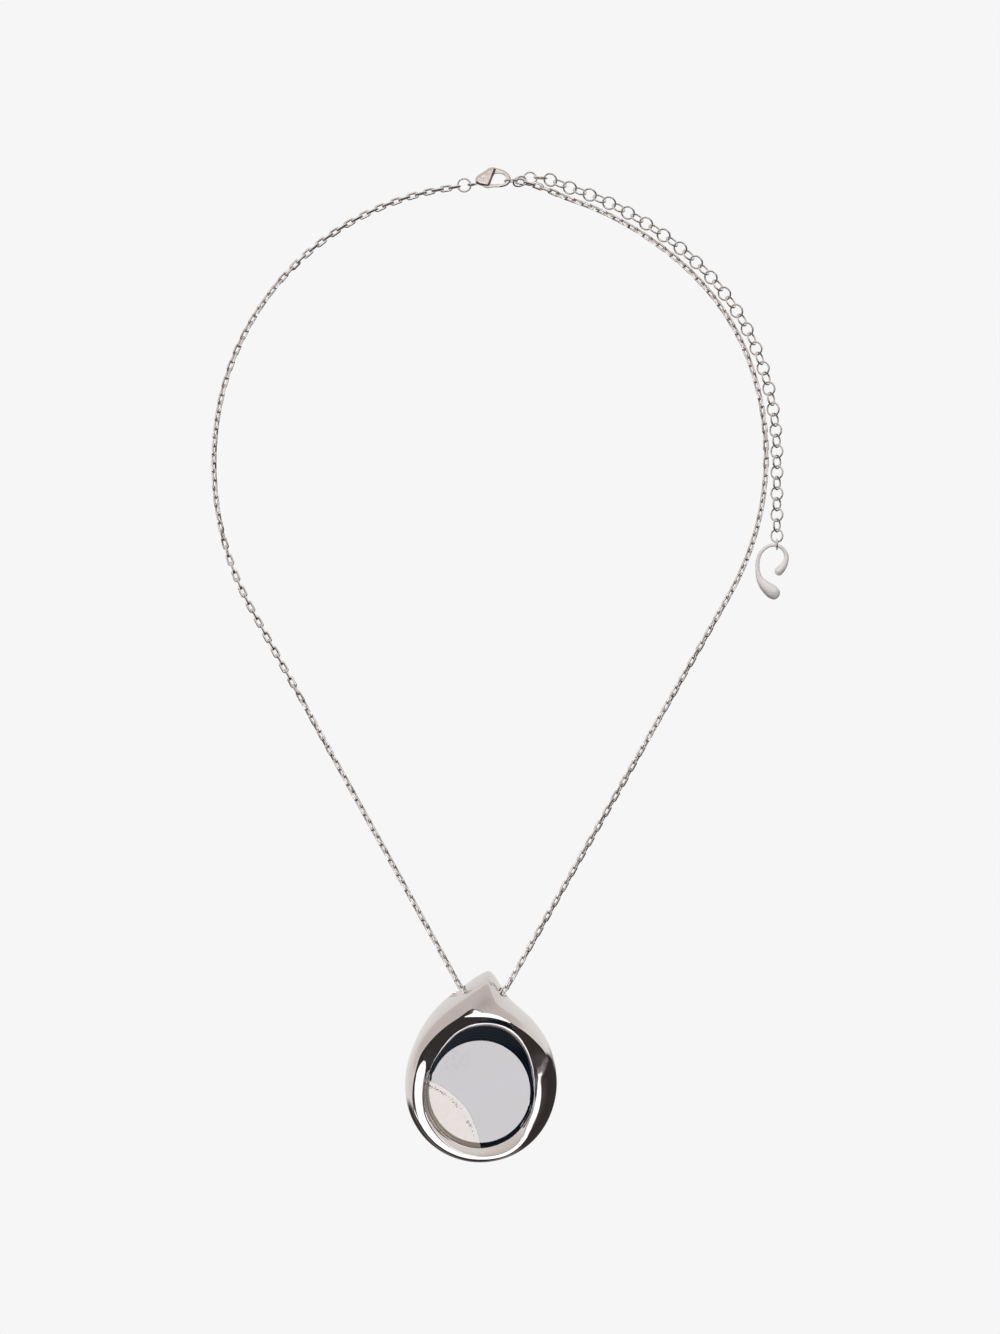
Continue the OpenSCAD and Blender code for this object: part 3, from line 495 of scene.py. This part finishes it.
# The wheel leaves the bevel less glossy than the table, and fingers leave a faint smear at the upper left.
def stoneGloss(tree, local, offTable, patterns):
    gloss = addNode(tree, "ShaderNodeMapRange",
                    {"To Min": agate["tableGloss"], "To Max": agate["bevelGloss"]},
                    {0: offTable}).outputs[0]
    fromSmear = addNode(tree, "ShaderNodeVectorMath", {"operation": "DISTANCE", 1: agate["smearAt"]},
                        {0: local}).outputs[1]
    far, near = agate["smearReach"]  # the smear fades out over this
    inSmear = addNode(tree, "ShaderNodeMapRange", {"From Min": far, "From Max": near},
                      {0: fromSmear}).outputs[0]
    streaky = addNode(tree, "ShaderNodeMapRange",
                      {"From Min": 0.48, "From Max": 0.62, "To Max": agate["smearGloss"]},
                      {0: patterns["streak"]}).outputs[0]
    return addNode(tree, "ShaderNodeMath", {"operation": "MULTIPLY_ADD"},
                   {0: inSmear, 1: streaky, 2: gloss}).outputs[0]


def makeAgateMaterial():
    material, tree, shader = newMaterial("polishedAgate")
    shader.inputs["IOR"].default_value = 1.54
    place = addNode(tree, "ShaderNodeTexCoord").outputs["Object"]
    x0, z0 = drop["middle"]
    local = addNode(tree, "ShaderNodeMapping",
                    {"Scale": (1 / mm, 1 / mm, 1 / mm), "Location": (-x0, 0, -z0 - agate["raised"])},
                    {"Vector": place}).outputs[0]  # mm from a point just above the ring's middle
    u, v = (addNode(tree, "ShaderNodeVectorMath", {"operation": "DOT_PRODUCT", 1: agate[axis]},
                    {0: local}).outputs[1] for axis in ("uAxis", "vAxis"))
    patterns = {name: addNode(tree, "ShaderNodeTexNoise",
                              {"Scale": 1 / size, "Detail": detail, "Roughness": rough},
                              {"Vector": local}).outputs[0]
                for name, (size, detail, rough) in agate["patterns"].items()}
    squared = addNode(tree, "ShaderNodeMath", {"operation": "MULTIPLY"}, {0: u, 1: u}).outputs[0]
    line = addNode(tree, "ShaderNodeMath",
                   {"operation": "MULTIPLY_ADD", 1: -agate["bow"], 2: agate["offset"] - agate["wander"] / 2},
                   {0: squared}).outputs[0]
    moved = addNode(tree, "ShaderNodeMath", {"operation": "MULTIPLY_ADD", 1: agate["wander"]},
                    {0: patterns["wander"], 2: line}).outputs[0]
    inside = addNode(tree, "ShaderNodeMath", {"operation": "SUBTRACT"},
                     {0: moved, 1: v}).outputs[0]  # mm into the patch
    blurFrom, blurTo = agate["edgeBlur"]
    patch = addNode(tree, "ShaderNodeMapRange", {"From Min": blurFrom, "From Max": blurTo},
                    {0: inside}).outputs[0]
    flat = addNode(tree, "ShaderNodeVectorMath", {"operation": "MULTIPLY", 1: (1, 0, 1)},
                   {0: local}).outputs[0]
    tableX, tableZ = agate["table"][:2]
    fromMiddle = addNode(tree, "ShaderNodeVectorMath",
                         {"operation": "DISTANCE", 1: (tableX, 0, tableZ - agate["raised"])},
                         {0: flat}).outputs[1]
    edgeFrom, edgeTo = agate["tableEdge"]
    offTable = addNode(tree, "ShaderNodeMapRange", {"From Min": edgeFrom, "From Max": edgeTo},
                       {0: fromMiddle}).outputs[0]

    pits = pitRow(tree, inside, patterns)
    navy = navyBody(tree, local, offTable, patterns)
    cream = creamPatch(tree, inside, offTable, pits, patterns)
    colour = addNode(tree, "ShaderNodeMix", colourMix, {0: patch, 6: navy, 7: cream}).outputs[2]
    openPits = addNode(tree, "ShaderNodeMath", {"operation": "MULTIPLY"}, {0: pits, 1: patch}).outputs[0]
    rough = addNode(tree, "ShaderNodeMapRange", {"To Min": agate["polish"], "To Max": agate["pitRoughness"]},
                    {0: openPits}).outputs[0]
    dents = addNode(tree, "ShaderNodeBump",
                    {"Strength": 0.3, "Distance": agate["pitDepth"] * mm, "invert": True},
                    {"Height": openPits}).outputs[0]
    tree.links.new(colour, shader.inputs["Base Color"])
    tree.links.new(rough, shader.inputs["Roughness"])
    tree.links.new(dents, shader.inputs["Normal"])
    tree.links.new(stoneGloss(tree, local, offTable, patterns), shader.inputs["Specular IOR Level"])
    return material


def makeAgate():
    angles = roundDrop()
    foot, (arrisOut, arrisDrop) = agate["girdleY"], agate["arris"]
    shoulder = agate["tableY"] + arrisDrop
    loops = [stoneLevel(angles, 0, 0, drop["floorY"] - agate["gap"]), stoneLevel(angles, 0, 0, foot)]
    for k in range(1, agate["bevelSteps"] + 1):
        t = k / agate["bevelSteps"]
        rise = t + agate["dome"] * t * (1 - t)  # the polished bevel is slightly domed
        loops.append(stoneLevel(angles, t, arrisOut * (1 - (1 - t) ** 4), foot + (shoulder - foot) * rise))
    loops.append(stoneLevel(angles, 1, 0, agate["tableY"]))
    piece = skin("agateStone", loops)
    dress(piece, makeAgateMaterial(), "pendant", ["agate_stone"], agate["sharpAngle"])


makeAgate()
print("agate ready")


# Fine cable chain whose links hang in each other, cut flat with a diamond on the corners so that it sparkles.
cable = {
    "pitch": 2.32, "wire": 0.315, "halfWidth": 0.635, "alongSteps": 24, "wireSides": 10, "cut": 0.69,
    "twist": {  # distance along the side in mm, turn of its links in degrees
        -1: [(0, 90), (42, 90), (62, 45), (118, 45), (136, 0), (166, 0), (184, 45), (400, 45)],
        1: [(0, 0), (14, 45), (90, 45), (110, 60), (150, 45), (210, 30), (400, 45)],
    },
    "sway": 16, "jitter": 7,  # slow and quick changes of the links' turn, in degrees
    "calmLength": 12,  # over this length the turns follow the ring that holds the chain
    "sharpAngle": 30,
}

claspRing = {"centre": (-6.975, 0, -1.45), "radius": 1.75, "wire": 0.25}
hookRing = {"centre": (5.65, 0.3, -0.25), "radius": 1.8, "wire": 0.2}


def onArc(arc, heading, inwards=0):
    h, r = math.radians(heading), arc[2] - inwards
    return Vector((arc[0] + r * math.sin(h), 0, arc[1] + r * math.cos(h)))


# The right side sags over its upper part, under the extender's weight.
def sag(heading):
    (inFrom, inOver), (outFrom, outOver) = loop["sagIn"], loop["sagOut"]
    return loop["sagDepth"] * ease((heading - inFrom) / inOver) * (1 - ease((heading - outFrom) / outOver))


# One side's middle line, from the ring that holds it to the middle of the drop's hole.
def chainPath(side, ring):
    arc, start, run = loop["arcs"][side], loop["easeHeading"], 90 + loop["lean"][side]
    r, mouth, runAngle = loop["bendRadius"], hole["mouths"][side], math.radians(run)
    reach = (mouth - arc[0]) * math.sin(runAngle) + (hole["z"] - arc[1]) * math.cos(runAngle)
    c = math.cos(math.radians(run - start))
    easeRadius = (reach - arc[2] * c) / (1 - c)
    back, h = arc[2] - easeRadius, math.radians(start)
    easeArc = (arc[0] + back * math.sin(h), arc[1] + back * math.cos(h), easeRadius)
    bendArc = (mouth - r * math.tan(math.radians(180 - run) / 2), hole["z"] + r, r)
    centre = Vector(ring["centre"])
    centre.x *= side
    inner = ring["radius"] - ring["wire"]
    tubeX = centre.x + math.sqrt(ring["radius"] ** 2 - centre.y ** 2) + ring["wire"] + loop["endGap"]
    first = math.degrees(math.asin((tubeX - arc[0]) / arc[2]))
    leave = onArc(arc, first)
    aim = Vector((leave.x - centre.x, leave.y - centre.y, 0)) if side > 0 else leave - centre
    points = [centre + aim.normalized() * inner]
    neck, easing, straight, turning = ([i / n for i in range(n + 1)] for n in loop["pathSteps"].values())
    headings = [first + (start - first) * t for t in neck]
    points += [onArc(arc, h, sag(h) if side > 0 else 0) for h in headings]
    points += [onArc(easeArc, start + (run - start) * t) for t in easing[1:]]
    bottom = onArc(bendArc, run)
    points += [points[-1].lerp(bottom, t) for t in straight[1:]]
    points += [onArc(bendArc, run + (180 - run) * t) for t in turning[1:]]
    middle = Vector(((hole["mouths"][1] - hole["mouths"][-1]) / 2 * side, 0, hole["z"]))
    points += [points[-1].lerp(middle, t) for t in turning[1:]]
    return [Vector((side * p.x, p.y, p.z)) for p in points]


# Joints a pitch apart in a straight line, because links are stiff and the path bends.
def jointsAlong(points, pitch):
    joints = [points[0]]
    for a, b in zip(points, points[1:]):
        step = (b - a).length
        if (b - joints[-1]).length >= pitch and step > 0:
            low, high = 0.0, 1.0
            for _ in range(12):
                half = (low + high) / 2
                low, high = (low, half) if (a.lerp(b, half) - joints[-1]).length > pitch else (half, high)
            joints.append(a.lerp(b, high))
    return joints


def fittedJoints(points):
    length = sum((b - a).length for a, b in zip(points, points[1:]))
    count = round(length / cable["pitch"])
    low, high = length / count * 0.97, length / count * 1.01
    for _ in range(26):
        pitch = (low + high) / 2
        low, high = (pitch, high) if len(jointsAlong(points, pitch)) > count else (low, pitch)
    joints = jointsAlong(points, low)[:count]
    return joints + [points[-1]]


def addLink(points, faces, a, b, roll):
    along = (b - a).normalized()
    flat = Vector((0, 1, 0)).cross(along).normalized()
    across = flat * math.cos(roll) + along.cross(flat) * math.sin(roll)
    face = along.cross(across)
    middle, w, r = (a + b) / 2, cable["wire"], cable["halfWidth"]
    straight = (b - a).length / 2 + w - r
    start, n, m = len(points), cable["wireSides"], cable["alongSteps"]
    for i in range(m):
        t = i / m * math.tau
        end = 1 if math.sin(t) >= 0 else -1
        for j in range(n):
            s = j / n * math.tau
            out = r + w * math.cos(s)
            pa, pf = out * math.cos(t), w * math.sin(s)
            corner = (abs(pa) + abs(pf)) / math.sqrt(2) - cable["cut"]
            if corner > 0:  # the diamond's flat
                pa -= math.copysign(corner / math.sqrt(2), pa)
                pf -= math.copysign(corner / math.sqrt(2), pf)
            lengthwise = end * straight + out * math.sin(t)
            points.append(middle + along * lengthwise + across * pa + face * pf)
    faces += tubeFaces(n, m, True, start)


def makeChain(name, node, side, ring):
    joints = fittedJoints(chainPath(side, ring))
    points, faces, far = [], [], 0
    for i, (a, b) in enumerate(zip(joints, joints[1:])):
        calm = ease(far / cable["calmLength"])
        wander = noise.noise(Vector((far * 0.045, side * 7.3, 0))) * cable["sway"]
        jitter = noise.noise(Vector((i * 3.71, side * 2.9, 5))) * cable["jitter"]
        roll = between(cable["twist"][side], far) + 90 * i + calm * (wander + jitter)
        addLink(points, faces, a, b, math.radians(roll))
        far += (b - a).length
    dress(newPiece(name, points, faces), silvers["diamondCutChainSilver"], "necklace",
          [node], cable["sharpAngle"])
    pitch = round((joints[1] - joints[0]).length, 3)
    print(name, len(joints) - 1, "links, pitch", pitch, "mm")


makeChain("leftCableChain", "chain_left", -1, claspRing)
makeChain("rightCableChain", "chain_right", 1, hookRing)


# Round links of drawn wire, soldered shut: the two end rings, the extender and the charm's ring.
extender = {
    "count": 48, "radius": 1.75, "wire": 0.25, "gap": 0.15, "out": 2.9, "back": 1.65,
    "liftStart": 0.5, "liftLength": 9.5, "driftLength": 12, "jitter": 5,
    "firstRolls": (52, 0, 95), "rollStep": 90, "rollStart": -55,
    "wireSides": 12, "roundSteps": 40,
}
charmRing = {"radius": 1.25, "wire": 0.25}


def addRing(points, faces, centre, along, across, radius, wire):
    start, n, m = len(points), extender["wireSides"], extender["roundSteps"]
    up = along.cross(across)
    for i in range(m):
        t = i / m * math.tau
        out = along * math.cos(t) + across * math.sin(t)
        for j in range(n):
            s = j / n * math.tau
            points.append(centre + out * (radius + wire * math.cos(s)) + up * (wire * math.sin(s)))
    faces += tubeFaces(n, m, True, start)


def makeRing(name, node, ring, centre, along, across):
    points, faces = [], []
    addRing(points, faces, Vector(centre), Vector(along), Vector(across), ring["radius"], ring["wire"])
    dress(newPiece(name, points, faces), silvers["diamondCutChainSilver"], "necklace",
          [node])


neckRadius = loop["arcs"][1][2]
linkPitch = 2 * extender["radius"] - 2 * extender["wire"] - extender["gap"]
firstLinkX = (hookRing["centre"][0]
              + math.sqrt(hookRing["radius"] ** 2 - (extender["back"] - hookRing["centre"][1]) ** 2)
              - hookRing["wire"] - extender["wire"] - extender["gap"] + extender["radius"])
extenderRadius = neckRadius + extender["out"]
extenderStart = math.asin(firstLinkX / neckRadius)


def extenderPoint(u):
    sideU = (math.pi / 2 - extenderStart) * extenderRadius
    a = extenderStart + min(u, sideU) / extenderRadius
    lift = math.sin(math.pi / 2 * min(1, (u + extender["liftStart"]) / extender["liftLength"]))
    r = neckRadius + extender["out"] * lift - sag(math.degrees(a))
    return Vector((r * math.sin(a), extender["back"] * (1 - ease(u / extender["driftLength"])),
                   -neckRadius + r * math.cos(a) - max(0, u - sideU)))


def nextLink(u):
    p = extenderPoint(u)
    v = u + linkPitch ** 2 / (extenderPoint(u + linkPitch) - p).length
    return u + linkPitch * (v - u) / (extenderPoint(v) - p).length


def makeExtender():
    points, faces, u = [], [], 0
    for i in range(extender["count"]):
        p = extenderPoint(u)
        along = (extenderPoint(u + 0.5) - extenderPoint(u - 0.5)).normalized()
        out = Vector((0, -1, 0)).cross(along).normalized()
        settled = extender["rollStep"] * i + extender["rollStart"]
        roll = extender["firstRolls"][i] if i < len(extender["firstRolls"]) else settled
        roll += noise.noise(Vector((i * 2.37, 1.7, 0))) * extender["jitter"]
        turn = math.radians(roll)
        across = out * math.cos(turn) + along.cross(out) * math.sin(turn)
        addRing(points, faces, p, along, across, extender["radius"], extender["wire"])
        last, u = u, nextLink(u)
    dress(newPiece("extenderLinks", points, faces), silvers["diamondCutChainSilver"], "necklace",
          ["extender_chain"])
    return extenderPoint(last).z


makeRing("claspEndRing", "clasp_ring", claspRing, claspRing["centre"], (1, 0, 0), (0, 0, 1))
makeRing("hookEndRing", "hook_ring", hookRing, hookRing["centre"], (1, 0, 0), (0, 1, 0))
lastLinkZ = makeExtender()
charmRingZ = (lastLinkZ - extender["radius"] + extender["wire"] + charmRing["wire"] + extender["gap"]
              - charmRing["radius"])
makeRing("charmHoldRing", "charm_ring", charmRing, (extenderRadius, 0, charmRingZ), (0, 1, 0), (0, 0, 1))
print("round links ready")


# A bright cast charm: its strand curls in at one end and swells into a bowl at the other.
charm = {
    "thin": 0.46, "thick": 1.84, "slack": 0.06, "steps": 84, "sides": 28,
    "endLength": 0.04, "endShare": 0.06, "sharpAngle": 50,
    # across and up from where it is held, share of the swelling
    "line": [
        (-0.35, -7.57, 0.43), (0.61, -6.8, 0.53), (1.66, -5.65, 0.38), (2.36, -4.32, 0.22),
        (2.58, -2.98, 0.14), (2.23, -1.64, 0.08), (1.37, -0.59, 0.03), (0.32, -0.07, 0), (-0.92, 0.12, 0),
        (-2.17, -0.11, 0), (-3.31, -0.78, 0.01), (-4.27, -1.83, 0.03), (-4.88, -3.17, 0.04),
        (-5.19, -4.7, 0.06), (-5.19, -6.23, 0.09), (-4.99, -7.76, 0.2), (-4.5, -9.19, 0.38),
        (-3.5, -10.53, 0.69), (-2.17, -11.73, 0.94), (-1.02, -12.63, 1), (-0.16, -13.3, 0.78),
        (0.51, -13.78, 0.36)
    ],
}


def makeCharm():
    holdZ = (charmRingZ - charmRing["radius"] + charmRing["wire"] + extender["gap"] + charm["thin"]
             + charm["slack"])
    rows = [Vector(row) for row in charm["line"]]
    last = len(rows) - 1

    def at(t):
        i = max(0, min(int(t * last), last - 1))
        p0, p1, p2, p3 = (rows[max(0, min(last, i + k))] for k in (-1, 0, 1, 2))
        return hermite(t * last - i, p1, p2, (p2 - p0) / 2, (p3 - p1) / 2)

    loops = []
    for i in range(charm["steps"] + 1):
        t = i / charm["steps"]
        p, step = at(t), at(t + 0.002) - at(t - 0.002)
        d = Vector((step.x, step.y)).normalized()
        w = charm["thin"] + (charm["thick"] - charm["thin"]) * p.z
        w *= math.sqrt(max(charm["endShare"], 1 - max(0, 1 - min(t, 1 - t) / charm["endLength"]) ** 2))
        loops.append([Vector((extenderRadius + p.x + a * d.y, b, holdZ + p.y - a * d.x))
                      for a, b in circle(w, charm["sides"])])
    dress(skin("endCharm", loops), silvers["brightCharmSilver"], "necklace",
          ["end_charm"], charm["sharpAngle"])


makeCharm()
print("charm ready")


# Claw clasp: cast body with its hook and tail eye, and a thumb lever on a pin. Outlines run from its tail.
clasp = {
    "x": -4.185, "z": -1.32, "caseThick": 2.4, "hookThick": 1.1, "leverThick": 0.8, "leverSide": 0.1,
    "caseEdge": 0.7, "hookEdge": 0.42, "leverEdge": 0.16, "sharpAngle": 35,
    "pin": (2.7, 0.32), "pinRadius": 0.3, "pinGap": 0.06, "leverReach": 3.95, "tipGap": 0.12,
    "pinInset": 0.1, "eyeBack": 0.97, "eyeRadius": 0.75, "eyeWire": 0.28,
    "neckRadius": 0.3, "neckUp": 0.1, "neckRun": (-0.4, 0.6),
    "outlineSteps": 8, "edgeSteps": 6, "voxel": 0.065, "smooth": 4,
    "case": [(0.3, 0.55), (0.28, 1.5), (0.75, 2.3), (2.5, 3.45), (4.2, 4.5), (5.6, 4.45), (5.45, 3.3),
             (4.65, 1.3), (3.95, -0.35), (3.0, -0.45), (1.6, -0.2), (0.75, 0.15)],
    "hook": [(4.0, 4.2), (5.2, 4.5), (6.8, 4.25), (8.1, 3.75), (9.2, 2.9), (9.8, 1.7), (9.65, 0.7),
             (9.0, -0.05), (8.2, -0.45), (7.3, -0.66), (6.3, -0.7), (6.3, 0.1), (7.4, 0.1), (8.15, 0.4),
             (8.62, 1.0), (8.66, 1.7), (8.15, 2.45), (7.2, 2.9), (6.2, 3.0), (5.2, 2.8), (4.3, 2.7)],
    "lever": [(2.0, 0.2), (2.3, -0.45), (3.1, -0.85), (4.0, -0.9), (4.9, -0.72), (6.0, -0.7), (6.9, -0.7),
              (6.9, 0.08), (5.6, 0.02), (4.4, 0.1), (3.5, 0.6), (2.9, 0.98), (2.2, 0.85)],
    "leverRoom": [(1.75, 0.1), (2.2, -1.2), (6, -1.2), (6, 2.4), (3.4, 2.0), (2.2, 1.35), (1.75, 0.8)],
    "tipRoom": [(5.1, -1.1), (6.7, -1.1), (6.7, 0.3), (5.1, 0.3)],
    "cutterThick": 5, "cutterSides": 96,  # cutters are thicker than what they cut
}


def rounded(points):
    n, steps, line = len(points), clasp["outlineSteps"], []
    for i in range(n):
        p0, p1, p2, p3 = (Vector(points[(i + k) % n]) for k in (-1, 0, 1, 2))
        line += [hermite(k / steps, p1, p2, (p2 - p0) / 2, (p3 - p1) / 2) for k in range(steps)]
    return line


def onClasp(u, v, w):
    return Vector((clasp["x"] + u, -w, clasp["z"] + v))


# A plate with softly rounded edges, from its outline.
def plate(name, line, thickness, edge):
    n = len(line)
    line = [Vector(p) for p in line]
    turned = sum(line[i].cross(line[(i + 1) % n]) for i in range(n))
    normals = []
    for i in range(n):
        d = (line[(i + 1) % n] - line[i - 1]).normalized()
        normals.append(Vector((d.y, -d.x)) * math.copysign(1, turned))
    loops, rounds = [], clasp["edgeSteps"]
    turns = [-math.pi / 2 + math.pi / 2 * k / rounds for k in range(rounds + 1)] if edge else [0]
    for half in (-1, 1):
        for t in turns if half < 0 else [-t for t in reversed(turns)]:
            inset, w = edge * (1 - math.cos(t)), half * (thickness / 2 - edge) + edge * math.sin(t)
            loops.append([onClasp(*(p - q * inset), w) for p, q in zip(line, normals)])
    return skin(name, loops)


def roundBar(name, centre, radius, thickness, sides=48):
    ring = circle(radius, sides)
    return skin(name, [[onClasp(centre[0] + a, centre[1] + b, w) for a, b in ring]
                       for w in (-thickness / 2, thickness / 2)])


def makeClasp():
    body = plate("clawBody", rounded(clasp["case"]), clasp["caseThick"], clasp["caseEdge"])
    hook = plate("hook", rounded(clasp["hook"]), clasp["hookThick"], clasp["hookEdge"])
    points, faces = [], []
    eye = Vector((clasp["x"] - clasp["eyeBack"], 0, clasp["z"]))
    addRing(points, faces, eye, Vector((1, 0, 0)), Vector((0, 1, 0)), clasp["eyeRadius"], clasp["eyeWire"])
    neck = skin("neck", [[onClasp(x, clasp["neckUp"] + b, a) for a, b in circle(clasp["neckRadius"], 24)]
                         for x in clasp["neckRun"]])
    cast(body, [hook, newPiece("eye", points, faces), neck], clasp["voxel"], clasp["smooth"])
    pin, reach, cutter, sides = (clasp[key] for key in ("pin", "leverReach", "cutterThick", "cutterSides"))
    tipRoom = plate("tipRoom", clasp["tipRoom"], cutter - 1, 0)
    combine(tipRoom, [roundBar("reach", pin, reach + clasp["tipGap"], cutter, sides)], "INTERSECT")
    room = plate("room", clasp["leverRoom"], clasp["leverThick"] + 2 * clasp["leverSide"], 0)
    combine(body, [room, tipRoom], "DIFFERENCE")
    combine(body, [roundBar("pin", pin, clasp["pinRadius"], clasp["caseThick"] - 2 * clasp["pinInset"])],
            "UNION")
    dress(body, silvers["wornClaspSilver"], "necklace", ["clasp_body"], clasp["sharpAngle"])

    lever = plate("thumbLever", rounded(clasp["lever"]), clasp["leverThick"], clasp["leverEdge"])
    combine(lever, [roundBar("reach", pin, reach, cutter - 1, sides)], "INTERSECT")
    combine(lever, [roundBar("bore", pin, clasp["pinRadius"] + clasp["pinGap"], cutter - 1)], "DIFFERENCE")
    dress(lever, silvers["wornClaspSilver"], "lever", ["clasp_lever"], clasp["sharpAngle"])


makeClasp()
print("clasp ready")


# A plain studio: pale room, a big soft light behind the camera, dark side to the right and below.
studio = {
    "backdrop": "#f6f6f6",
    "floorZ": -0.45, "floorRadius": 0.6,
    "lightDown": 8, "light": (13.5, 13.1, 13.45),
    # what is seen at an angle from the light's middle, in degrees, towards the pale side and away from it
    "paleSide": [(13, (0.12, 0.10, 0.095)), (17, (0.3, 0.265, 0.25)), (24, (0.545, 0.49, 0.465)),
                 (45, (0.61, 0.55, 0.525)), (62, (0.745, 0.7, 0.67)), (95, (0.725, 0.705, 0.695)),
                 (135, (0.8, 0.785, 0.775)), (170, (0.86, 0.85, 0.845))],
    "darkSide": [(13, (0.12, 0.10, 0.095)), (17, (0.15, 0.13, 0.125)), (24, (0.06, 0.053, 0.052)),
                 (40, (0.035, 0.03, 0.029)), (128, (0.04, 0.035, 0.034)), (155, (0.35, 0.33, 0.32)),
                 (176, (0.9, 0.89, 0.885))],
    "paleTurn": 107.5, "paleLean": 0.13, "paleEdge": (-0.03, 0.09),
    "lightRadius": 13, "lightSoft": 1.2,
    "brightest": 0.94,  # rolls off the lamp's mirror image
    "board": ("#efefee", "#f3f3f2"), "boardGrain": 4, "boardRoughness": 0.9, "boardSides": 96,
}


def makeWorld():
    world = bpy.data.worlds.new("paleStudio")
    world.use_nodes = True
    tree = world.node_tree
    tree.nodes.clear()
    way = addNode(tree, "ShaderNodeTexCoord").outputs["Generated"]
    down, turn = math.radians(studio["lightDown"]), math.radians(studio["paleTurn"])
    lightWay = (0, -math.cos(down), -math.sin(down))
    paleWay = (math.cos(turn), studio["paleLean"], math.sin(turn))
    toLight, toPale = (addNode(tree, "ShaderNodeVectorMath", {"operation": "DOT_PRODUCT", 1: line},
                               {0: way}).outputs[1] for line in (lightWay, paleWay))
    low, high = studio["paleEdge"]
    paleShare = addNode(tree, "ShaderNodeMapRange",
                        {"interpolation_type": "SMOOTHSTEP", "From Min": low, "From Max": high},
                        {0: toPale}).outputs[0]
    turned = addNode(tree, "ShaderNodeMath", {"operation": "ARCCOSINE"}, {0: toLight}).outputs[0]
    away = addNode(tree, "ShaderNodeMath", {"operation": "DIVIDE", 1: math.pi}, {0: turned}).outputs[0]
    sides = []
    for side in ("darkSide", "paleSide"):
        ramp = addNode(tree, "ShaderNodeValToRGB", {}, {0: away})
        stops = ramp.color_ramp.elements
        for k, (angle, colour) in enumerate(studio[side]):
            stop = stops[k] if k < 2 else stops.new(angle / 180)
            stop.position, stop.color = angle / 180, colour + (1,)
        sides.append(ramp.outputs[0])
    room = addNode(tree, "ShaderNodeMix", colourMix,
                   {0: paleShare, 6: sides[0], 7: sides[1]}).outputs[2]
    low, high = (math.cos(math.radians(studio["lightRadius"] + soft))
                 for soft in (studio["lightSoft"], -studio["lightSoft"]))
    share = addNode(tree, "ShaderNodeMapRange",
                    {"interpolation_type": "SMOOTHSTEP", "From Min": low, "From Max": high},
                    {0: toLight}).outputs[0]
    room = addNode(tree, "ShaderNodeMix", {**colourMix, 7: studio["light"] + (1,)},
                   {0: share, 6: room}).outputs[2]
    lit = addNode(tree, "ShaderNodeBackground", {}, {"Color": room}).outputs[0]
    seen = addNode(tree, "ShaderNodeBackground", {"Color": linearColour(studio["backdrop"])}).outputs[0]
    direct = addNode(tree, "ShaderNodeLightPath").outputs["Is Camera Ray"]
    both = addNode(tree, "ShaderNodeMixShader", {}, {0: direct, 1: lit, 2: seen}).outputs[0]
    addNode(tree, "ShaderNodeOutputWorld", {}, {"Surface": both})
    return world


def makeStudio():
    scene = bpy.context.scene
    scene.world = makeWorld()
    scene.view_settings.view_transform = "Standard"
    scene.view_settings.look = "None"
    scene.cycles.sample_clamp_direct = scene.cycles.sample_clamp_indirect = studio["brightest"]

    material, tree, shader = newMaterial("mattPaintedBoard")
    place = addNode(tree, "ShaderNodeTexCoord").outputs["Object"]
    grain = addNode(tree, "ShaderNodeTexNoise", {"Scale": 1 / (studio["boardGrain"] * mm), "Detail": 3},
                    {"Vector": place}).outputs[0]
    dark, pale = (linearColour(colour) for colour in studio["board"])
    tone = addNode(tree, "ShaderNodeMix", {**colourMix, 6: dark, 7: pale}, {0: grain}).outputs[2]
    tree.links.new(tone, shader.inputs["Base Color"])
    shader.inputs["Roughness"].default_value = studio["boardRoughness"]
    edge = circle(studio["floorRadius"], studio["boardSides"])
    floor = newPiece("paleFloor", [Vector((a, b, studio["floorZ"])) for a, b in edge],
                     [tuple(range(len(edge)))])
    floor.data.materials.append(material)
    floor.visible_glossy = False



view = {"place": (0.0027, -0.8, -0.1315), "lens": 80, "sensor": 36, "clipStart": 0.01}


def makeCamera():
    data = bpy.data.cameras.new("camera")
    data.lens, data.sensor_width, data.sensor_fit = view["lens"], view["sensor"], "AUTO"
    data.clip_start = view["clipStart"]
    camera = bpy.data.objects.new("camera", data)
    camera.location = view["place"]
    camera.rotation_euler = (math.pi / 2, 0, 0)
    bpy.context.scene.collection.objects.link(camera)
    bpy.context.scene.camera = camera


makeStudio()
makeCamera()
print("studio ready")
